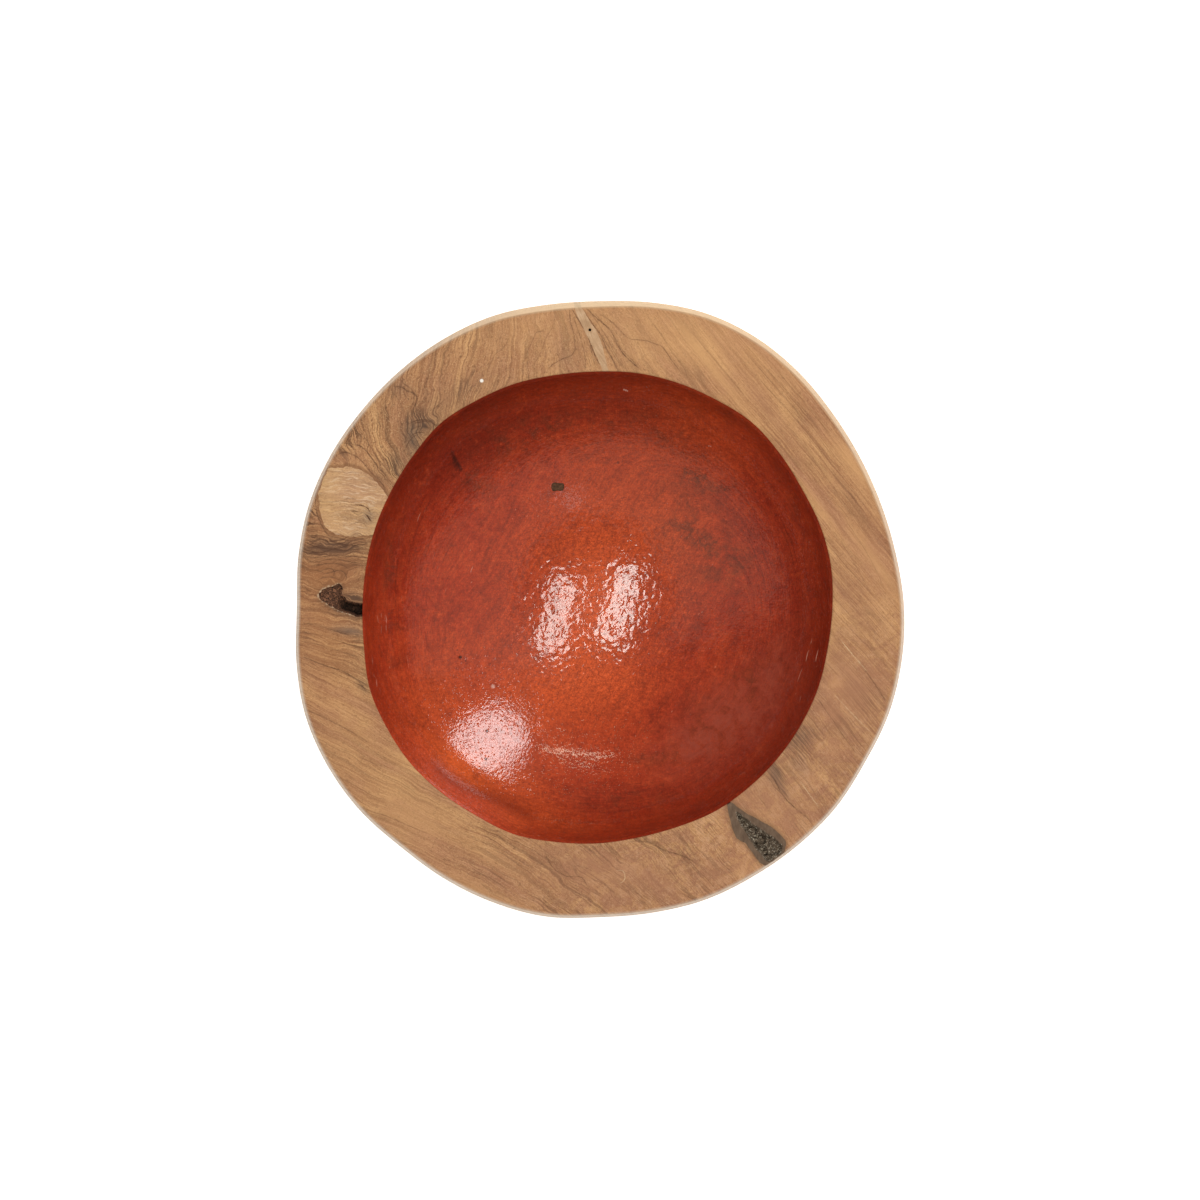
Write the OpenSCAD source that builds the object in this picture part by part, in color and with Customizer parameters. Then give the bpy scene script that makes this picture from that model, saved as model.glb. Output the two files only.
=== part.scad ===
// Hand-carved root-wood bowl with a red lacquered hollow.
//
// The bowl is one hollowed block of teak root. Its rim is sawn flat, and the
// outline of the rim follows the root, so it is not a true circle. The hollow
// carries a hard red lacquer coat. Three natural flaws show on the flat rim: a
// pale branch knot, a dark knot lined with bark, and a pocket of ingrown bark.
// A drying crack across the rim is stopped with filler.
//
// Frame: +Z up, origin on the resting plane under the middle of the rim.
// Seen from above with +Y away from the viewer, station 0 degrees is on +X.

/* [Bowl] */
// Nominal width across the rim
bowl_d = 300; // [240:1:360]
// Height from the base to the flat rim
bowl_h = 95; // [90:1:130]
// Diameter of the flat base
base_d = 160; // [120:1:190]
// Height at which the outside wall becomes upright
belly_h = 68; // [50:1:72]
// Width in plan of the eased outer edge of the rim
ease_w = 1.6; // [0.8:0.1:2.4]
// Height of the eased outer edge of the rim
ease_h = 2.4; // [1:0.1:4]

/* [Hollow] */
// Radius to which the floor of the hollow is dished, on a 300 wide bowl
floor_round = 180; // [165:1:260]
// Radius through which the floor turns up into the wall, on a 300 wide bowl
turn_round = 46; // [30:1:55]
// Steepness of the wall at the mouth, in degrees
wall_lean = 78; // [70:1:84]
// Width of the broken inner edge of the rim
inner_edge = 0.5; // [0.3:0.1:1]

/* [Lacquer] */
// Thickness of the lacquer coat
lacquer_t = 0.8; // [0.5:0.1:1.5]
// Length of the chip where the wood shows through the lacquer
chip_l = 6.4; // [3:0.2:10]
// Width of that chip
chip_w = 4; // [2:0.2:6]

/* [Knots, bark and crack] */
// Diameter of the pale branch knot at the rim
knot_d = 33; // [24:0.5:33]
// How far the pale knot reaches down into the wall
knot_depth = 44; // [20:1:48]
// Depth of the dark knot's hollow
dark_knot_depth = 10; // [6:0.5:16]
// Depth of the ingrown bark pocket
bark_depth = 14; // [8:0.5:20]
// How far the bark lies below the rim
bark_recess = 2; // [0.5:0.1:3]
// Depth of the filled crack below the rim
crack_depth = 26; // [12:1:30]
// Diameter of the pinhole left by a bubble in the filler
pinhole_d = 1.8; // [1:0.1:2.4]
// Depth of that pinhole
pinhole_depth = 4; // [2:0.5:8]

/* [Hidden] */
$fn = 96;

// Everything in plan is laid out for a bowl 300 wide and scaled from there.
k = bowl_d / 300;

// Radius of the rim's outer outline every 10 degrees, in mm on a 300 bowl.
outer_r = [150, 148.5, 148, 148.5, 150, 152.5, 154.5, 155, 153.5,
           152, 152.5, 154, 154, 153.5, 153, 153, 152.5, 151,
           149.5, 152, 154.5, 155, 154.5, 153, 153.5, 154, 154,
           152, 152, 152.5, 152, 152, 152, 151, 151.5, 151];
// Radius of the hollow's mouth every 10 degrees, about the hollow's own centre.
mouth_r = [116.5, 117.5, 117.5, 117, 118, 119, 118, 117.5, 117,
           116, 116, 117, 117.5, 118.5, 117, 116, 115.5, 115,
           115, 116, 118.5, 119, 119.5, 119, 118.5, 119, 117.5,
           116.5, 115.5, 115.5, 116.5, 116.5, 116.5, 116.5, 116.5, 116];
// Centre of the hollow: it was carved a little off the middle of the block.
hollow_x = -2;
hollow_y = 1;
outer_mean = 152.4;
mouth_mean = 117.1;

// Steepness where the dished floor meets the turn.
turn_start = asin((mouth_mean - turn_round * sin(wall_lean)) / (floor_round - turn_round));

// Plan outlines on the rim, in mm on a 300 bowl.
dark_knot_plan = [[-139, 9], [-134.5, 11.5], [-127.5, 12.5], [-126.5, 6],
                  [-121.5, 3.5], [-112, 3], [-112, -4], [-123, -3],
                  [-130.5, 0.5], [-137, 3.5]];
bark_plan = [[63, -94], [69, -96.5], [75.5, -102], [83.5, -107], [90, -112.5],
             [91.5, -116], [86.5, -119.5], [80.5, -123.5], [77.5, -122.5],
             [73.5, -118], [68, -114], [65, -107], [63, -98.5], [60, -91]];
crack_plan = [[-14.5, 157], [-12.5, 148], [-11, 144], [-6, 134], [-4, 130],
              [1, 118.5], [3.5, 110], [6, 110], [4, 118], [1, 130.5],
              [-1.5, 136.5], [-5, 141.5], [-9.5, 149.5], [-11, 157]];
// Middle of the pale knot on the rim, and the lean of its branch.
knot_pos = [-122.5, 52];
knot_lean = 6;
// Middle of the filler's pinhole and of the chip in the lacquer.
pinhole_pos = [-5, 137.5];
chip_pos = [-21.7, 61.6];

stations = 72;
turn_steps = 7;
floor_steps = 7;
wall_steps = 11;

// Value of a closed list of stations at an angle, on a smooth curve through them.
function smooth(p0, p1, p2, p3, t) =
    0.5 * (2 * p1 + (p2 - p0) * t + (2 * p0 - 5 * p1 + 4 * p2 - p3) * t * t
           + (3 * p1 - p0 - 3 * p2 + p3) * t * t * t);
function at_angle(list, a) =
    let (n = len(list), u = a * n / 360, i = floor(u))
    smooth(list[(i + n - 1) % n], list[i % n], list[(i + 1) % n], list[(i + 2) % n], u - i);
function mix(a, b, t) = a + (b - a) * t;
function angle(j) = j * 360 / stations;
// 1 at angle c, falling away over about w degrees on either side.
function near(a, c, w) = let (d = abs(a - c), e = min(d, 360 - d) / w) exp(-e * e);
// The eased edge is widest where the root's own outside was left on.
function ease_at(a) = ease_w * (1 + 0.9 * near(a, 100, 24) + 0.35 * near(a, 45, 35));

// One ring of the outside wall: radius share between base and rim, height, and
// how far the ring has rounded off towards a circle. The inset is a share of the
// width of the eased edge.
function wall_ring(share, z, round_off, inset = 0) =
    [for (j = [0 : stations - 1])
        let (a = angle(j),
             rim = k * mix(at_angle(outer_r, a), outer_mean, round_off),
             r = mix(base_d / 2, rim, share) - inset * ease_at(a))
        [r * cos(a), r * sin(a), z]];

// One ring of the hollow where its surface is p degrees steep, drawn in by t for
// the inner face of the lacquer.
function hollow_ring(p, t = 0) =
    let (turning = p > turn_start,
         r0 = turning
            ? floor_round * sin(turn_start) + turn_round * (sin(p) - sin(turn_start))
            : floor_round * sin(p),
         d0 = turning
            ? turn_round * (cos(p) - cos(wall_lean))
            : turn_round * (cos(turn_start) - cos(wall_lean))
              + floor_round * (cos(p) - cos(turn_start)),
         rounder = 0.7 * (1 - sin(p) / sin(wall_lean)))
    [for (j = [0 : stations - 1])
        let (a = angle(j),
             r = k * r0 * mix(at_angle(mouth_r, a), mouth_mean, rounder) / mouth_mean
                 - t * sin(p))
        [k * hollow_x + r * cos(a), k * hollow_y + r * sin(a),
         bowl_h - inner_edge - k * d0 + t * cos(p)]];
// The steepness of each ring in turn, from the mouth to the middle of the floor.
hollow_sweep = concat(
    [for (i = [0 : turn_steps - 1]) mix(wall_lean, turn_start, i / turn_steps)],
    [for (i = [0 : floor_steps - 1]) mix(turn_start, 2.5, i / (floor_steps - 1))]);
hollow_steps = len(hollow_sweep);

// The flat inner edge of the rim, just outside the mouth.
function rim_inner_ring() =
    [for (j = [0 : stations - 1])
        let (a = angle(j), r = k * at_angle(mouth_r, a) + inner_edge)
        [k * hollow_x + r * cos(a), k * hollow_y + r * sin(a), bowl_h]];

function wall_sweep(i) = 12 + 78 * i / (wall_steps - 1);

// Closed solid through a stack of rings. Every quad is split from its upper
// corner, so that two solids that share a face also share its facets.
module loft(rings) {
    n = stations;
    m = len(rings);
    points = [for (r = rings) each r];
    sides = [for (i = [0 : m - 2], j = [0 : n - 1])
        let (a = i * n + j, b = i * n + (j + 1) % n,
             c = (i + 1) * n + (j + 1) % n, d = (i + 1) * n + j,
             rising = rings[i + 1][0][2] > rings[i][0][2])
        each rising ? [[a, d, b], [b, d, c]] : [[a, d, c], [a, c, b]]];
    foot = [[for (j = [0 : n - 1]) j]];
    cap = [[for (j = [n - 1 : -1 : 0]) (m - 1) * n + j]];
    polyhedron(points = points, faces = concat(foot, sides, cap), convexity = 8);
}

// The block as carved, before its flaws are let into it.
module carved_block() {
    wall = [for (i = [0 : wall_steps - 1])
        let (p = wall_sweep(i), s0 = sin(12), c0 = cos(12))
        wall_ring((sin(p) - s0) / (1 - s0), belly_h * (c0 - cos(p)) / c0,
                  0.6 * (1 - i / (wall_steps - 1)))];
    edge = [wall_ring(1, bowl_h - ease_h, 0),
            wall_ring(1, bowl_h - 0.4 * ease_h, 0, 0.35),
            wall_ring(1, bowl_h, 0, 1)];
    hollow = [for (p = hollow_sweep) hollow_ring(p)];
    loft(concat(wall, edge, [rim_inner_ring()], hollow));
}

// Space let into the rim, straight down from above it.
module let_in(plan, from_z, to_z) {
    translate([0, 0, from_z])
        linear_extrude(height = to_z - from_z)
            scale(k) polygon(plan);
}

module knot_space() {
    translate([k * knot_pos[0], k * knot_pos[1], bowl_h])
        rotate([0, knot_lean, 0])
            translate([0, 0, -knot_depth])
                cylinder(h = knot_depth + 3, d1 = 0.42 * k * knot_d,
                         d2 = k * knot_d * (1 + 0.58 * 3 / knot_depth));
}
module dark_knot_space(top) { let_in(dark_knot_plan, bowl_h - dark_knot_depth, top); }
module bark_space(top) { let_in(bark_plan, bowl_h - bark_depth, top); }
module crack_space(top) { let_in(crack_plan, bowl_h - crack_depth, top); }

// The hollowed block of root wood.
module bowl_body() {
    color("#b98d5f")
        difference() {
            carved_block();
            knot_space();
            dark_knot_space(bowl_h + 2);
            bark_space(bowl_h + 2);
            crack_space(bowl_h + 2);
        }
}

// The hard red coat of the hollow, with one chip through it.
module lacquer_lining() {
    color("#a8391c")
        difference() {
            loft(concat(
                [for (i = [hollow_steps - 1 : -1 : 0]) hollow_ring(hollow_sweep[i])],
                [for (p = hollow_sweep) hollow_ring(p, lacquer_t)]));
            translate([k * chip_pos[0], k * chip_pos[1], bowl_h / 2])
                cube([chip_l, chip_w, bowl_h], center = true);
        }
}

// The pale branch knot, tight in the wall and level with the rim.
module pale_knot() {
    color("#cda877")
        intersection() { carved_block(); knot_space(); }
}

// The bark that lines the dark knot.
module dark_knot_bark() {
    color("#4a3626")
        intersection() { carved_block(); dark_knot_space(bowl_h - bark_recess); }
}

// The pocket of ingrown bark.
module ingrown_bark() {
    color("#57493b")
        intersection() { carved_block(); bark_space(bowl_h - bark_recess); }
}

// The filler that stops the drying crack, with a bubble's pinhole.
module crack_filler() {
    color("#b9a078")
        difference() {
            intersection() { carved_block(); crack_space(bowl_h + 2); }
            translate([k * pinhole_pos[0], k * pinhole_pos[1], bowl_h - pinhole_depth])
                cylinder(h = pinhole_depth + 1, d = pinhole_d);
        }
}

bowl_body();
lacquer_lining();
pale_knot();
dark_knot_bark();
ingrown_bark();
crack_filler();
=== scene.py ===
import math

import bmesh
import bpy
import numpy as np
from mathutils import Matrix, Vector
from mathutils.geometry import delaunay_2d_cdt


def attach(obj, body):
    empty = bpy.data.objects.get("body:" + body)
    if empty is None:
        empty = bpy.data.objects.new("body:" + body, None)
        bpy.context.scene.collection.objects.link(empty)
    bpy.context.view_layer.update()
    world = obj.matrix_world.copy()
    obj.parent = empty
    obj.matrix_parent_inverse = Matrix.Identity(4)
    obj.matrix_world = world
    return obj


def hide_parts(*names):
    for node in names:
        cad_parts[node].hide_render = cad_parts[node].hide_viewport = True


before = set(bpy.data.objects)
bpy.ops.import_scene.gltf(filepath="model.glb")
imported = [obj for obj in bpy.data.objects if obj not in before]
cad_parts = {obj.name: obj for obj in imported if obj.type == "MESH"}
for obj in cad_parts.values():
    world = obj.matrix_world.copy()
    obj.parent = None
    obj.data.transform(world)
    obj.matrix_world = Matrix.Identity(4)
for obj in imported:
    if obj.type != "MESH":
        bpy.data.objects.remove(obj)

scene = bpy.context.scene
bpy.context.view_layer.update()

# ------------------------------------------------------------------ sizes
# Everything below is worked out in millimetres and turned into metres when a mesh is made.
MM = 0.001
H = 95.0                  # height of the rim
BASE_R = 80.0             # flat base
BELLY = 68.0              # height at which the outer wall turns upright
EASE_W, EASE_H = 1.6, 2.4  # eased outer edge of the rim
LIP = 0.5                 # small bevel at the mouth
COAT = 0.8                # thickness of the lacquer
FLOOR, TURN, LEAN = 180.0, 46.0, math.radians(78.0)   # hollow: dished floor, turned-up wall
MID = np.array([-2.0, 1.0])                            # middle of the hollow

OUTER = np.array([150, 148.5, 148, 148.5, 150, 152.5, 154.5, 155, 153.5, 152, 152.5, 154,
                  154, 153.5, 153, 153, 152.5, 151, 149.5, 152, 154.5, 155, 154.5, 153,
                  153.5, 154, 154, 152, 152, 152.5, 152, 152, 152, 151, 151.5, 151])
MOUTH = np.array([116.5, 117.5, 117.5, 117, 118, 119, 118, 117.5, 117, 116, 116, 117,
                  117.5, 118.5, 117, 116, 115.5, 115, 115, 116, 118.5, 119, 119.5, 119,
                  118.5, 119, 117.5, 116.5, 115.5, 115.5, 116.5, 116.5, 116.5, 116.5, 116.5, 116])
OUTER_MEAN, MOUTH_MEAN = OUTER.mean(), MOUTH.mean()
BEND = math.asin((MOUTH_MEAN - TURN * math.sin(LEAN)) / (FLOOR - TURN))


def plan(points):
    """Plan positions noted on a 1200 x 1200 sheet, 0.4926 mm a step, u to the right and v down."""
    a = np.array(points, dtype=float)
    return np.stack([(a[:, 0] - 600.0) * 0.4926, (609.0 - a[:, 1]) * 0.4926], axis=1)


# ------------------------------------------------------------------ small maths
def around(values, deg):
    """Smooth closed curve through evenly spaced values."""
    n = len(values)
    u = np.mod(deg, 360.0) * n / 360.0
    i = np.floor(u).astype(int)
    t = u - i
    a, b, c, d = (values[(i + k) % n] for k in (-1, 0, 1, 2))
    return b + 0.5 * t * (c - a + t * (2 * a - 5 * b + 4 * c - d + t * (3 * (b - c) + d - a)))


def bump_at(deg, at, width):
    off = np.mod(deg - at + 180.0, 360.0) - 180.0
    return np.exp(-(off / width) ** 2)


def smooth(x, lo, hi):
    t = np.clip((np.asarray(x, dtype=float) - lo) / (hi - lo), 0.0, 1.0)
    return t * t * (3 - 2 * t)


def lattice(ix, iy, iz, seed):
    h = (ix * 374761393 + iy * 668265263 + iz * 1274126177 + seed * 974711) & 0xFFFFFFFF
    h = ((h ^ (h >> 15)) * 739982445) & 0xFFFFFFFF
    h = ((h ^ (h >> 13)) * 695872825) & 0xFFFFFFFF
    return ((h ^ (h >> 16)) & 0xFFFFFF) / float(0x7FFFFF) - 1.0


def value_noise(p, seed):
    i = np.floor(p).astype(np.int64)
    f = p - i
    f = f * f * f * (f * (f * 6 - 15) + 10)
    total = np.zeros(len(p))
    for dx in (0, 1):
        wx = f[:, 0] if dx else 1 - f[:, 0]
        for dy in (0, 1):
            wy = f[:, 1] if dy else 1 - f[:, 1]
            for dz in (0, 1):
                wz = f[:, 2] if dz else 1 - f[:, 2]
                total += wx * wy * wz * lattice(i[:, 0] + dx, i[:, 1] + dy, i[:, 2] + dz, seed)
    return total


def fbm(p, size, octaves=3, seed=1, gain=0.5):
    total, amp, norm = np.zeros(len(p)), 1.0, 0.0
    q = np.asarray(p, dtype=float) / size
    for k in range(octaves):
        total += amp * value_noise(q + 13.7 * k, seed + 31 * k)
        norm += amp
        amp *= gain
        q = q * 2.03
    return total / norm


def curve_through(points, step=0.6):
    """Points along a smooth open curve through the given ones."""
    p = np.asarray(points, dtype=float)
    p = np.vstack([2 * p[0] - p[1], p, 2 * p[-1] - p[-2]])
    out = []
    for k in range(1, len(p) - 2):
        a, b, c, d = p[k - 1], p[k], p[k + 1], p[k + 2]
        n = max(2, int(np.linalg.norm(c - b) / step))
        for t in np.arange(n) / n:
            out.append(b + 0.5 * t * (c - a + t * (2 * a - 5 * b + 4 * c - d + t * (3 * (b - c) + d - a))))
    out.append(p[-2])
    return np.array(out)


def closed_outline(points, step=0.7, wobble=0.0, seed=5):
    """Points along a closed outline, straight between the given ones, with a fine natural wobble."""
    p = np.asarray(points, dtype=float)
    out = []
    for a, b in zip(p, np.roll(p, -1, axis=0)):
        n = max(1, int(round(np.linalg.norm(b - a) / step)))
        out += [a + (b - a) * k / n for k in range(n)]
    out = np.array(out)
    for _ in range(2):
        out = 0.25 * np.roll(out, 1, axis=0) + 0.5 * out + 0.25 * np.roll(out, -1, axis=0)
    if wobble:
        q = np.column_stack([out, np.zeros(len(out))])
        ahead = np.roll(out, -1, axis=0) - np.roll(out, 1, axis=0)
        ahead /= np.linalg.norm(ahead, axis=1)[:, None] + 1e-9
        off = wobble * fbm(q, 2.6, 3, seed, 0.6)
        out = out + np.column_stack([ahead[:, 1], -ahead[:, 0]]) * off[:, None]
    return out


def inside(points, outline):
    """Which points are inside a closed outline."""
    x, y = points[:, 0], points[:, 1]
    hit = np.zeros(len(points), dtype=bool)
    for (ax, ay), (bx, by) in zip(outline, np.roll(outline, -1, axis=0)):
        if ay == by:
            continue
        cross = (ay > y) != (by > y)
        hit ^= cross & (x < (bx - ax) * (y - ay) / (by - ay) + ax)
    return hit


def to_curve(points, line):
    """Signed distance to a curve, and the share of its length at the nearest point."""
    a, b = line[:-1], line[1:]
    seg = b - a
    length = np.linalg.norm(seg, axis=1) + 1e-9
    unit = seg / length[:, None]
    start = np.concatenate([[0.0], np.cumsum(length)])
    best = np.full(len(points), 1e9)
    side = np.ones(len(points))
    along = np.zeros(len(points))
    for k in range(len(a)):
        d = points - a[k]
        t = d @ unit[k]
        lo = -40.0 if k == 0 else 0.0
        hi = length[k] + (40.0 if k == len(a) - 1 else 0.0)
        tc = np.clip(t, lo, hi)
        foot = d - tc[:, None] * unit[k]
        dist = np.hypot(foot[:, 0], foot[:, 1])
        near = dist < best
        best[near] = dist[near]
        cross = unit[k][0] * d[:, 1] - unit[k][1] * d[:, 0]
        side[near] = np.where(cross[near] >= 0, 1.0, -1.0)
        along[near] = (start[k] + tc[near])
    return best * side, along, start[-1]


def from_outline(points, outline):
    """Distance to a closed outline, negative inside it."""
    line = np.vstack([outline, outline[:1]])
    best = np.full(len(points), 1e9)
    for a, b in zip(line[:-1], line[1:]):
        seg = b - a
        t = np.clip(((points - a) @ seg) / (seg @ seg + 1e-12), 0, 1)
        foot = points - a - t[:, None] * seg
        best = np.minimum(best, np.hypot(foot[:, 0], foot[:, 1]))
    return np.where(inside(points, outline), -best, best)


# ------------------------------------------------------------------ meshes
def make_object(name, verts_mm, faces):
    mesh = bpy.data.meshes.new(name)
    mesh.from_pydata((np.asarray(verts_mm) * MM).tolist(), [], faces)
    mesh.update()
    obj = bpy.data.objects.new(name, mesh)
    scene.collection.objects.link(obj)
    return obj


def loft(rings, first_pole, last_pole):
    """A closed skin through rings of equal count, closed at both ends on a point."""
    n, m = len(rings), len(rings[0])
    verts = [np.array([first_pole])] + [np.asarray(r) for r in rings] + [np.array([last_pole])]
    verts = np.vstack(verts)
    faces = []
    j = np.arange(m)
    jn = (j + 1) % m
    for a, b in zip(j, jn):
        faces.append((0, 1 + b, 1 + a))
    for i in range(n - 1):
        lo, hi = 1 + i * m, 1 + (i + 1) * m
        faces += [(int(lo + a), int(lo + b), int(hi + b), int(hi + a)) for a, b in zip(j, jn)]
    top, last = 1 + (n - 1) * m, 1 + n * m
    for a, b in zip(j, jn):
        faces.append((int(top + a), int(top + b), int(last)))
    return verts, faces


def boolean(obj, cutter, operation):
    mod = obj.modifiers.new("cut", "BOOLEAN")
    mod.operation = operation
    mod.solver = "MANIFOLD"
    mod.object = cutter
    mesh = bpy.data.meshes.new_from_object(obj.evaluated_get(bpy.context.evaluated_depsgraph_get()))
    obj.modifiers.clear()
    old = obj.data
    obj.data = mesh
    mesh.name = obj.name
    bpy.data.meshes.remove(old)
    return obj


def copy_of(obj, name):
    new = bpy.data.objects.new(name, obj.data.copy())
    scene.collection.objects.link(new)
    return new


def drop(*objects):
    for obj in objects:
        mesh = obj.data
        bpy.data.objects.remove(obj)
        bpy.data.meshes.remove(mesh)


def tidy(obj, sharp=32.0, merge=0.002):
    """Triangles only, no slivers at seams, smooth shading with crisp arrises."""
    bm = bmesh.new()
    bm.from_mesh(obj.data)
    bmesh.ops.remove_doubles(bm, verts=bm.verts, dist=merge * MM)
    bmesh.ops.dissolve_degenerate(bm, edges=bm.edges, dist=merge * MM)
    bmesh.ops.triangulate(bm, faces=bm.faces)
    loose = [v for v in bm.verts if not v.link_faces]
    if loose:
        bmesh.ops.delete(bm, geom=loose, context="VERTS")
    bm.to_mesh(obj.data)
    bm.free()
    obj.data.shade_smooth()
    obj.data.set_sharp_from_angle(angle=math.radians(sharp))


def coords(obj):
    mesh = obj.data
    co = np.empty(len(mesh.vertices) * 3)
    mesh.vertices.foreach_get("co", co)
    return co.reshape(-1, 3) / MM


def set_coords(obj, verts_mm):
    obj.data.vertices.foreach_set("co", (np.asarray(verts_mm) * MM).ravel())
    obj.data.update()


def add_float(obj, name, values):
    a = obj.data.attributes.new(name, "FLOAT", "POINT")
    a.data.foreach_set("value", np.asarray(values, dtype=np.float32))


def add_vector(obj, name, values):
    a = obj.data.attributes.new(name, "FLOAT_VECTOR", "POINT")
    a.data.foreach_set("vector", np.asarray(values, dtype=np.float32).ravel())


def prism(name, outline, z_low, z_high, shrink=1.0, about=None):
    """A closed prism over an outline, drawn in towards its foot by shrink."""
    o = np.asarray(outline, dtype=float)
    area = 0.5 * np.sum(o[:, 0] * np.roll(o[:, 1], -1) - np.roll(o[:, 0], -1) * o[:, 1])
    if area < 0:
        o = o[::-1]
    c = o.mean(axis=0) if about is None else np.asarray(about)
    n = len(o)
    foot = c + (o - c) * shrink
    verts = np.vstack([np.column_stack([foot, np.full(n, z_low)]),
                       np.column_stack([o, np.full(n, z_high)])])
    faces = [(i, (i + 1) % n, n + (i + 1) % n, n + i) for i in range(n)]
    faces.append(tuple(range(n - 1, -1, -1)))
    faces.append(tuple(range(n, 2 * n)))
    return make_object(name, verts, faces)


# ------------------------------------------------------------------ shape of the block
def hollow(p, deg, t=0.0):
    """A point of the hollow at steepness p and bearing deg, t mm proud of the wood."""
    p, deg = np.broadcast_arrays(np.asarray(p, dtype=float), np.asarray(deg, dtype=float))
    flat = p <= BEND
    r0 = np.where(flat, FLOOR * np.sin(p), FLOOR * math.sin(BEND) + TURN * (np.sin(p) - math.sin(BEND)))
    d0 = np.where(flat, TURN * (math.cos(BEND) - math.cos(LEAN)) + FLOOR * (np.cos(p) - math.cos(BEND)),
                  TURN * (np.cos(p) - math.cos(LEAN)))
    m = around(MOUTH, deg)
    k = (m + (MOUTH_MEAN - m) * 0.7 * (1 - np.sin(p) / math.sin(LEAN))) / MOUTH_MEAN
    r = r0 * k - t * np.sin(p)
    z = H - LIP - d0 + t * np.cos(p)
    a = np.radians(deg)
    return np.stack([MID[0] + r * np.cos(a), MID[1] + r * np.sin(a), z], axis=-1)


def polar(radius, deg, z, mid=(0.0, 0.0)):
    a = np.radians(deg)
    radius, z = np.broadcast_to(radius, deg.shape), np.broadcast_to(z, deg.shape)
    return np.stack([mid[0] + radius * np.cos(a), mid[1] + radius * np.sin(a), z], axis=-1)


def edge_width(deg):
    """The eased outer edge is broad at the top and upper right and narrow elsewhere."""
    return 0.82 + 0.95 * bump_at(deg, 100, 26) + 0.50 * bump_at(deg, 48, 36)


def block():
    """The whole carved block as one closed fine skin, before the pockets are cut."""
    m = 640
    deg = np.arange(m) * 360.0 / m
    rim = around(OUTER, deg)
    ease = edge_width(deg)
    rings = []
    for r in np.append(np.arange(6.0, 75.0, 4.0), 77.5):
        rings.append(polar(r, deg, 0.0))
    s0, c0 = math.sin(math.radians(12)), math.cos(math.radians(12))
    for p in np.radians(np.concatenate([np.arange(12, 40, 2.6), np.linspace(40, 90, 22)])):
        share = (math.sin(p) - s0) / (1 - s0)
        z = BELLY * (c0 - math.cos(p)) / c0
        own = rim + (OUTER_MEAN - rim) * 0.6 * (1 - (p - math.radians(12)) / math.radians(78))
        rings.append(polar(BASE_R + (own - BASE_R) * share, deg, z))
    for z in np.linspace(BELLY, H - 6.5, 11)[1:]:
        rings.append(polar(rim, deg, z))
    low, wide = EASE_H * ease, EASE_W * ease
    for k in (0.5, 0.12):
        rings.append(polar(rim, deg, H - low - (6.5 - low) * k))
    for t in (0.0, 0.12, 0.26, 0.42, 0.58, 0.74, 0.88, 0.965):
        rings.append(polar(rim - wide * t ** 1.75, deg, H - low * (1 - t)))
    rings.append(polar(rim - wide * 1.03, deg, H - 0.03))
    edge_out = polar(rim - wide * 1.12, deg, H)
    edge_in = polar(around(MOUTH, deg) + LIP, deg, H, MID)
    for t in np.linspace(0, 1, 34):
        rings.append(edge_out + (edge_in - edge_out) * t)
    rings.append(polar(around(MOUTH, deg) + LIP * 0.45, deg, H - LIP * 0.3, MID))
    rings.append(polar(around(MOUTH, deg) + LIP * 0.12, deg, H - LIP * 0.7, MID))
    for p in np.concatenate([np.linspace(LEAN, BEND, 11), np.linspace(BEND, 0.0, 15)[1:-1]]):
        rings.append(hollow(p, deg))
    verts, faces = loft(rings, (0.0, 0.0, 0.0), tuple(hollow(0.0, 0.0)))
    # carving and sanding leave the outside and the rim slightly uneven
    r = np.hypot(verts[:, 0], verts[:, 1])
    a = np.degrees(np.arctan2(verts[:, 1], verts[:, 0]))
    outside = (r > BASE_R + 2) & (verts[:, 2] < H - 1.0) & (r > around(OUTER, a) * 0.5)
    wall = outside & (np.hypot(verts[:, 0] - MID[0], verts[:, 1] - MID[1]) > 119.0 * 0.7)
    wall &= verts[:, 2] < np.where(r < around(OUTER, a) - 8, BELLY, H)
    hollow_side = np.zeros(len(verts), dtype=bool)
    hollow_side[1 + 640 * (len(rings) - 24):] = True
    wall &= ~hollow_side
    fade = smooth(r, BASE_R, BASE_R + 25) * (1 - smooth(verts[:, 2], H - 16, H - 5))
    push = (0.7 * fbm(verts, 48, 2, 11) + 0.35 * fbm(verts, 15, 2, 12)) * fade * wall
    verts[:, 0] += push * verts[:, 0] / np.maximum(r, 1)
    verts[:, 1] += push * verts[:, 1] / np.maximum(r, 1)
    rim_top = (verts[:, 2] > H - 0.02)
    verts[rim_top, 2] += 0.09 * fbm(verts[rim_top], 26, 2, 14)
    return verts, faces


def mouth_push(outline, gap):
    """Keeps an outline gap mm outside the mouth: where it would cross the mouth it runs along it instead."""
    d = outline - MID
    ang = np.degrees(np.arctan2(d[:, 1], d[:, 0]))
    kept = np.flatnonzero(np.hypot(d[:, 0], d[:, 1]) >= around(MOUTH, ang) + gap)
    if len(kept) == len(outline):
        return outline
    skip = np.diff(np.append(kept, kept[0] + len(outline)))
    kept = np.roll(kept, -int(np.argmax(skip)) - 1)
    start, end = ang[kept[-1]], ang[kept[0]]
    turn = (end - start + 180.0) % 360.0 - 180.0
    n = max(1, int(abs(math.radians(turn)) * 117.0 / 0.5))
    a = start + turn * np.arange(1, n + 1) / (n + 1)
    r = around(MOUTH, a) + gap
    arc = MID + np.column_stack([r * np.cos(np.radians(a)), r * np.sin(np.radians(a))])
    return np.vstack([outline[kept], arc])


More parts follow.
